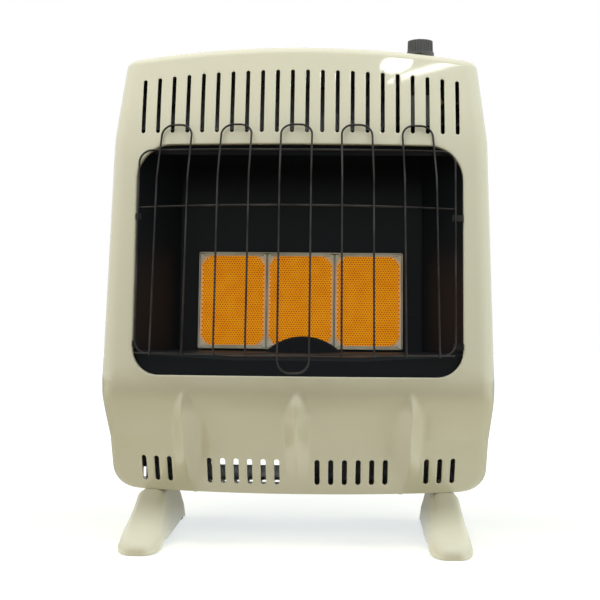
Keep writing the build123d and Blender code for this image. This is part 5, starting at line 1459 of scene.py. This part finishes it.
    def build(self) -> Object:
        """Models the plaque.

        Returns:
            The plaque, dressed.
        """
        place, half_width, half_height = self.frame_of()
        ported = self.field(half_width, half_height)
        ported.matrix_world = place
        dress(ported, self.field_material, self.port_shade_material)
        slab = self.rim(place, half_width, half_height)
        dress(slab, self.rim_material)
        plaque = settle(weld([ported, slab]), self.node + "_ported")
        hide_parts(self.node)
        return plaque


# ---------------------------------------------------------------- studio
@dataclass(frozen=True)
class SoftBox:
    """Soft lamp. A plain one lights matt surfaces, and a strip shows only in glossy ones."""

    name: str
    place: tuple[float, float, float]
    target: tuple[float, float, float]
    size: tuple[float, float]
    power: float  # in watts
    tint: tuple[float, float, float] = (1.0, 1.0, 1.0)
    strip: bool = False

    def hang(self) -> None:
        """Hangs the lamp in its place and points it."""
        data = bpy.data.lights.new(self.name, "AREA")
        data.shape = "ELLIPSE" if self.strip else "RECTANGLE"
        data.size, data.size_y = self.size
        data.energy = self.power
        data.color = self.tint
        box = add_object(self.name, data)
        box.location = self.place
        box.visible_diffuse, box.visible_glossy = not self.strip, self.strip
        box.rotation_mode = "QUATERNION"
        box.rotation_quaternion = (Vector(self.target) - Vector(self.place)).to_track_quat("-Z", "Y")


LAMPS = (
    SoftBox("top_box", (0.0, -0.47, 1.85), (0, -0.1, 0.3), (1.7, 0.8), 22.0, (0.95, 0.98, 1.0)),
    SoftBox("left_window", (-1.1, -1.9, 1.65), (0, 0, 0.5), (0.8, 0.9), 7.9, (1.0, 0.99, 0.97)),
    SoftBox("right_window", (1.15, -1.8, 1.4), (0, 0, 0.5), (0.6, 0.9), 2.5, (0.84, 0.94, 1.0)),
    SoftBox("strip", (0.76, -1.52, 1.812), (0.15, -0.09, 0.64), (0.62, 0.018), 0.5, strip=True),
    SoftBox("strip_end", (0.51, -1.5, 1.775), (0.12, -0.09, 0.64), (0.2, 0.045), 0.5, strip=True),
    SoftBox("left_box", (-2.2, -0.4, 0.8), (0, -0.1, 0.5), (0.7, 1.1), 16.5, (0.95, 0.98, 1.0)),
    SoftBox("right_box", (2.2, -0.3, 0.55), (0, -0.1, 0.3), (0.7, 1.1), 22.0, (0.87, 0.95, 1.0)),
)


@dataclass
class Studio:
    """Plain pale floor, soft lamps and the camera."""

    eye: tuple[float, float, float] = (57.58, -1787.7, 287.22)  # in millimetres
    yaw: float = math.radians(1.87)
    pitch: float = math.radians(1.42)
    roll: float = math.radians(0.54)
    focal: float = 76.53
    sensor: float = 36.0
    clip: float = 0.05  # nothing nearer than this shows
    floor_size: float = 30.0
    lift: float = 0.7  # how much the floor is whitened near the feet
    white: float = 1.15  # how much it is whitened far away, and how bright its painted reflection under the heater is
    seen_from: tuple[float, float] = (0.42, 1.3)  # distances between which the whitening grows
    painted_reflection_reach: tuple[float, float] = (0.2, 0.42)  # distances between which the painted reflection under the heater ends
    ambient: float = 0.1  # level of the light from all round
    card_place: tuple[float, float, float] = (0.0, -1.88, 0.002)
    card_size: tuple[float, float] = (8.0, 2.7)
    card_height: float = 0.74  # of its upright part, behind the camera

    def floor(self) -> None:
        """Lays the floor, which shows white, keeps the shadow and, in glossy rays only, glows near the
        heater: a painted reflection.
        """
        deselect()
        bpy.ops.mesh.primitive_plane_add(size=self.floor_size)
        plane = bpy.context.object
        plane.name = "studio_floor"
        graph = Graph("studio_floor")
        graph.set(Base_Color=linear(212, 204, 181), Roughness=0.9, Specular_IOR_Level=0.0)
        graph.set(Emission_Color=(0.9, 0.96, 1.0, 1.0))
        path = graph.add("ShaderNodeLightPath")
        reach = graph.add("ShaderNodeVectorMath", operation="LENGTH")
        graph.join(graph.place.outputs["Object"], reach.inputs[0])
        far = graph.add("ShaderNodeMapRange", To_Min=self.lift, To_Max=self.white)
        near = graph.add("ShaderNodeMapRange", To_Min=self.white, To_Max=0.0)
        for level, (start, end) in ((far, self.seen_from), (near, self.painted_reflection_reach)):
            level.inputs["From Min"].default_value = start
            level.inputs["From Max"].default_value = end
            graph.join(reach.outputs["Value"], level.inputs["Value"])
        seen = graph.add("ShaderNodeMath", operation="MULTIPLY")
        graph.join(path.outputs["Is Camera Ray"], seen.inputs[0])
        graph.join(far.outputs["Result"], seen.inputs[1])
        # glossy rays see the floor near the heater glow: a painted reflection on the casing's lower front
        painted_reflection = graph.add("ShaderNodeMath", operation="MULTIPLY_ADD")
        graph.join(path.outputs["Is Glossy Ray"], painted_reflection.inputs[0])
        graph.join(near.outputs["Result"], painted_reflection.inputs[1])
        graph.join(seen.outputs[0], painted_reflection.inputs[2])
        graph.join(painted_reflection.outputs[0], graph.shader.inputs["Emission Strength"])
        dress(plane, graph.material)

    def sky(self) -> None:
        """Lights from all round, and shows white behind the heater."""
        world = bpy.data.worlds.new("studio_sky")
        bpy.context.scene.world = world
        world.use_nodes = True
        tree = world.node_tree
        ground = tree.nodes["Background"]
        ground.inputs["Color"].default_value = (1.0, 1.0, 1.0, 1)
        path = tree.nodes.new("ShaderNodeLightPath")
        level = tree.nodes.new("ShaderNodeMapRange")
        level.inputs["To Min"].default_value = self.ambient
        level.inputs["To Max"].default_value = 1.0
        direct = tree.nodes.new("ShaderNodeMath")
        direct.operation = "MAXIMUM"
        tree.links.new(path.outputs["Is Camera Ray"], direct.inputs[0])
        tree.links.new(path.outputs["Is Glossy Ray"], direct.inputs[1])
        tree.links.new(direct.outputs[0], level.inputs["Value"])
        tree.links.new(level.outputs["Result"], ground.inputs["Strength"])

    def card(self) -> None:
        """Lays and stands a dark card round the camera, which shows only as a calm band in the gloss."""
        deselect()
        bpy.ops.mesh.primitive_plane_add(size=1, location=self.card_place)
        card = bpy.context.object
        card.name = "studio_card"
        bpy.ops.transform.resize(value=(*self.card_size, 1))
        bpy.ops.object.transform_apply(location=True, rotation=True, scale=True)
        bpy.ops.object.mode_set(mode="EDIT")
        cage = bmesh.from_edit_mesh(card.data)
        bpy.ops.mesh.select_mode(type="EDGE")
        bpy.ops.mesh.select_all(action="DESELECT")
        rear = min(vertex.co.y for vertex in cage.verts)
        for edge in cage.edges:
            edge.select_set(all(vertex.co.y < rear + 0.01 for vertex in edge.verts))
        bmesh.update_edit_mesh(card.data)
        bpy.ops.mesh.extrude_region_move(TRANSFORM_OT_translate={"value": (0, 0, self.card_height)})
        bpy.ops.object.mode_set(mode="OBJECT")
        graph = Graph("studio_card")
        graph.set(Base_Color=linear(30, 29, 26), Roughness=0.9)
        dress(card, graph.material)
        card.visible_camera = card.visible_diffuse = card.visible_shadow = False

    def camera(self) -> None:
        """Sets the camera where the view is taken from."""
        ahead = math.cos(self.pitch)
        forward = Vector((-math.sin(self.yaw) * ahead, math.cos(self.yaw) * ahead, math.sin(self.pitch)))
        level = Vector((math.cos(self.yaw), math.sin(self.yaw), 0))
        upright = level.cross(forward)
        right = math.cos(self.roll) * level + math.sin(self.roll) * upright
        up = math.cos(self.roll) * upright - math.sin(self.roll) * level
        data = bpy.data.cameras.new("view")
        data.lens = self.focal
        data.sensor_width = self.sensor
        data.clip_start = self.clip
        camera = add_object("view", data)
        matrix = Matrix((right, up, -forward)).transposed().to_4x4()
        matrix.translation = Vector(self.eye) * MM
        camera.matrix_world = matrix
        bpy.context.scene.camera = camera
        bpy.context.scene.view_settings.view_transform = "Standard"

    def build(self) -> None:
        """Sets up the whole studio."""
        self.floor()
        self.sky()
        self.card()
        for lamp in LAMPS:
            lamp.hang()
        self.camera()


def enter(piece: Object, slot: Slot, body: Body, *materials: Material) -> None:
    """Dresses a finished piece, enters its body, and reports it.

    Args:
        piece: the piece.
        slot: its material slot in the record; not used.
        body: the CAD body that it rides on.
        materials: its finishes, or none where it is dressed already.
    """
    dress(piece, *materials)
    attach(piece, body.value)
    LOG.info("built %s", piece.name)


def main() -> None:
    """Dresses every CAD node, builds the heater's own pieces and sets the studio."""
    logging.basicConfig(level=logging.INFO, format="%(message)s")
    materials = {slot: finish.make() for slot, finish in FINISHES.items()}
    pale, port, foot_lit_coat, rim_highlights = (
        finish.make() for finish in (PALE_CERAMIC, PORT_SHADE_CERAMIC, FOOT_LIT_ENAMEL, RIM_HIGHLIGHT_ENAMEL)
    )
    for row in frame["record"]["subparts"]:
        node = frame["nodes"][row["node"]]
        dress(node, materials[PAINTED.get(row["node"], Slot(row["material_slot"]))])
        LOG.info("dressed %s", row["node"])

    enamel = materials[Slot.CREAM_ENAMEL]
    enter(Casing().build(enamel, rim_highlights), Slot.CREAM_ENAMEL, Body.HEATER)
    for foot in Foot().build():
        enter(foot, Slot.CREAM_ENAMEL, Body.HEATER, foot_lit_coat)
    enter(KeyholeCup().build(), Slot.ZINC_SHEET, Body.HEATER, materials[Slot.ZINC_SHEET])
    coil = ReturnSpring()
    spring = coil.build()
    enter(spring, Slot.SPINDLE_STEEL, Body.PLUG, materials[Slot.SPINDLE_STEEL])
    coil.shorten(spring)
    for side in ("left", "centre", "right"):
        plaque = Plaque("ceramic_plaque_" + side, pale, materials[Slot.PLAQUE_CERAMIC], port)
        enter(plaque.build(), Slot.PLAQUE_CERAMIC, Body.HEATER)
    Studio().build()


if __name__ == "__main__":
    main()
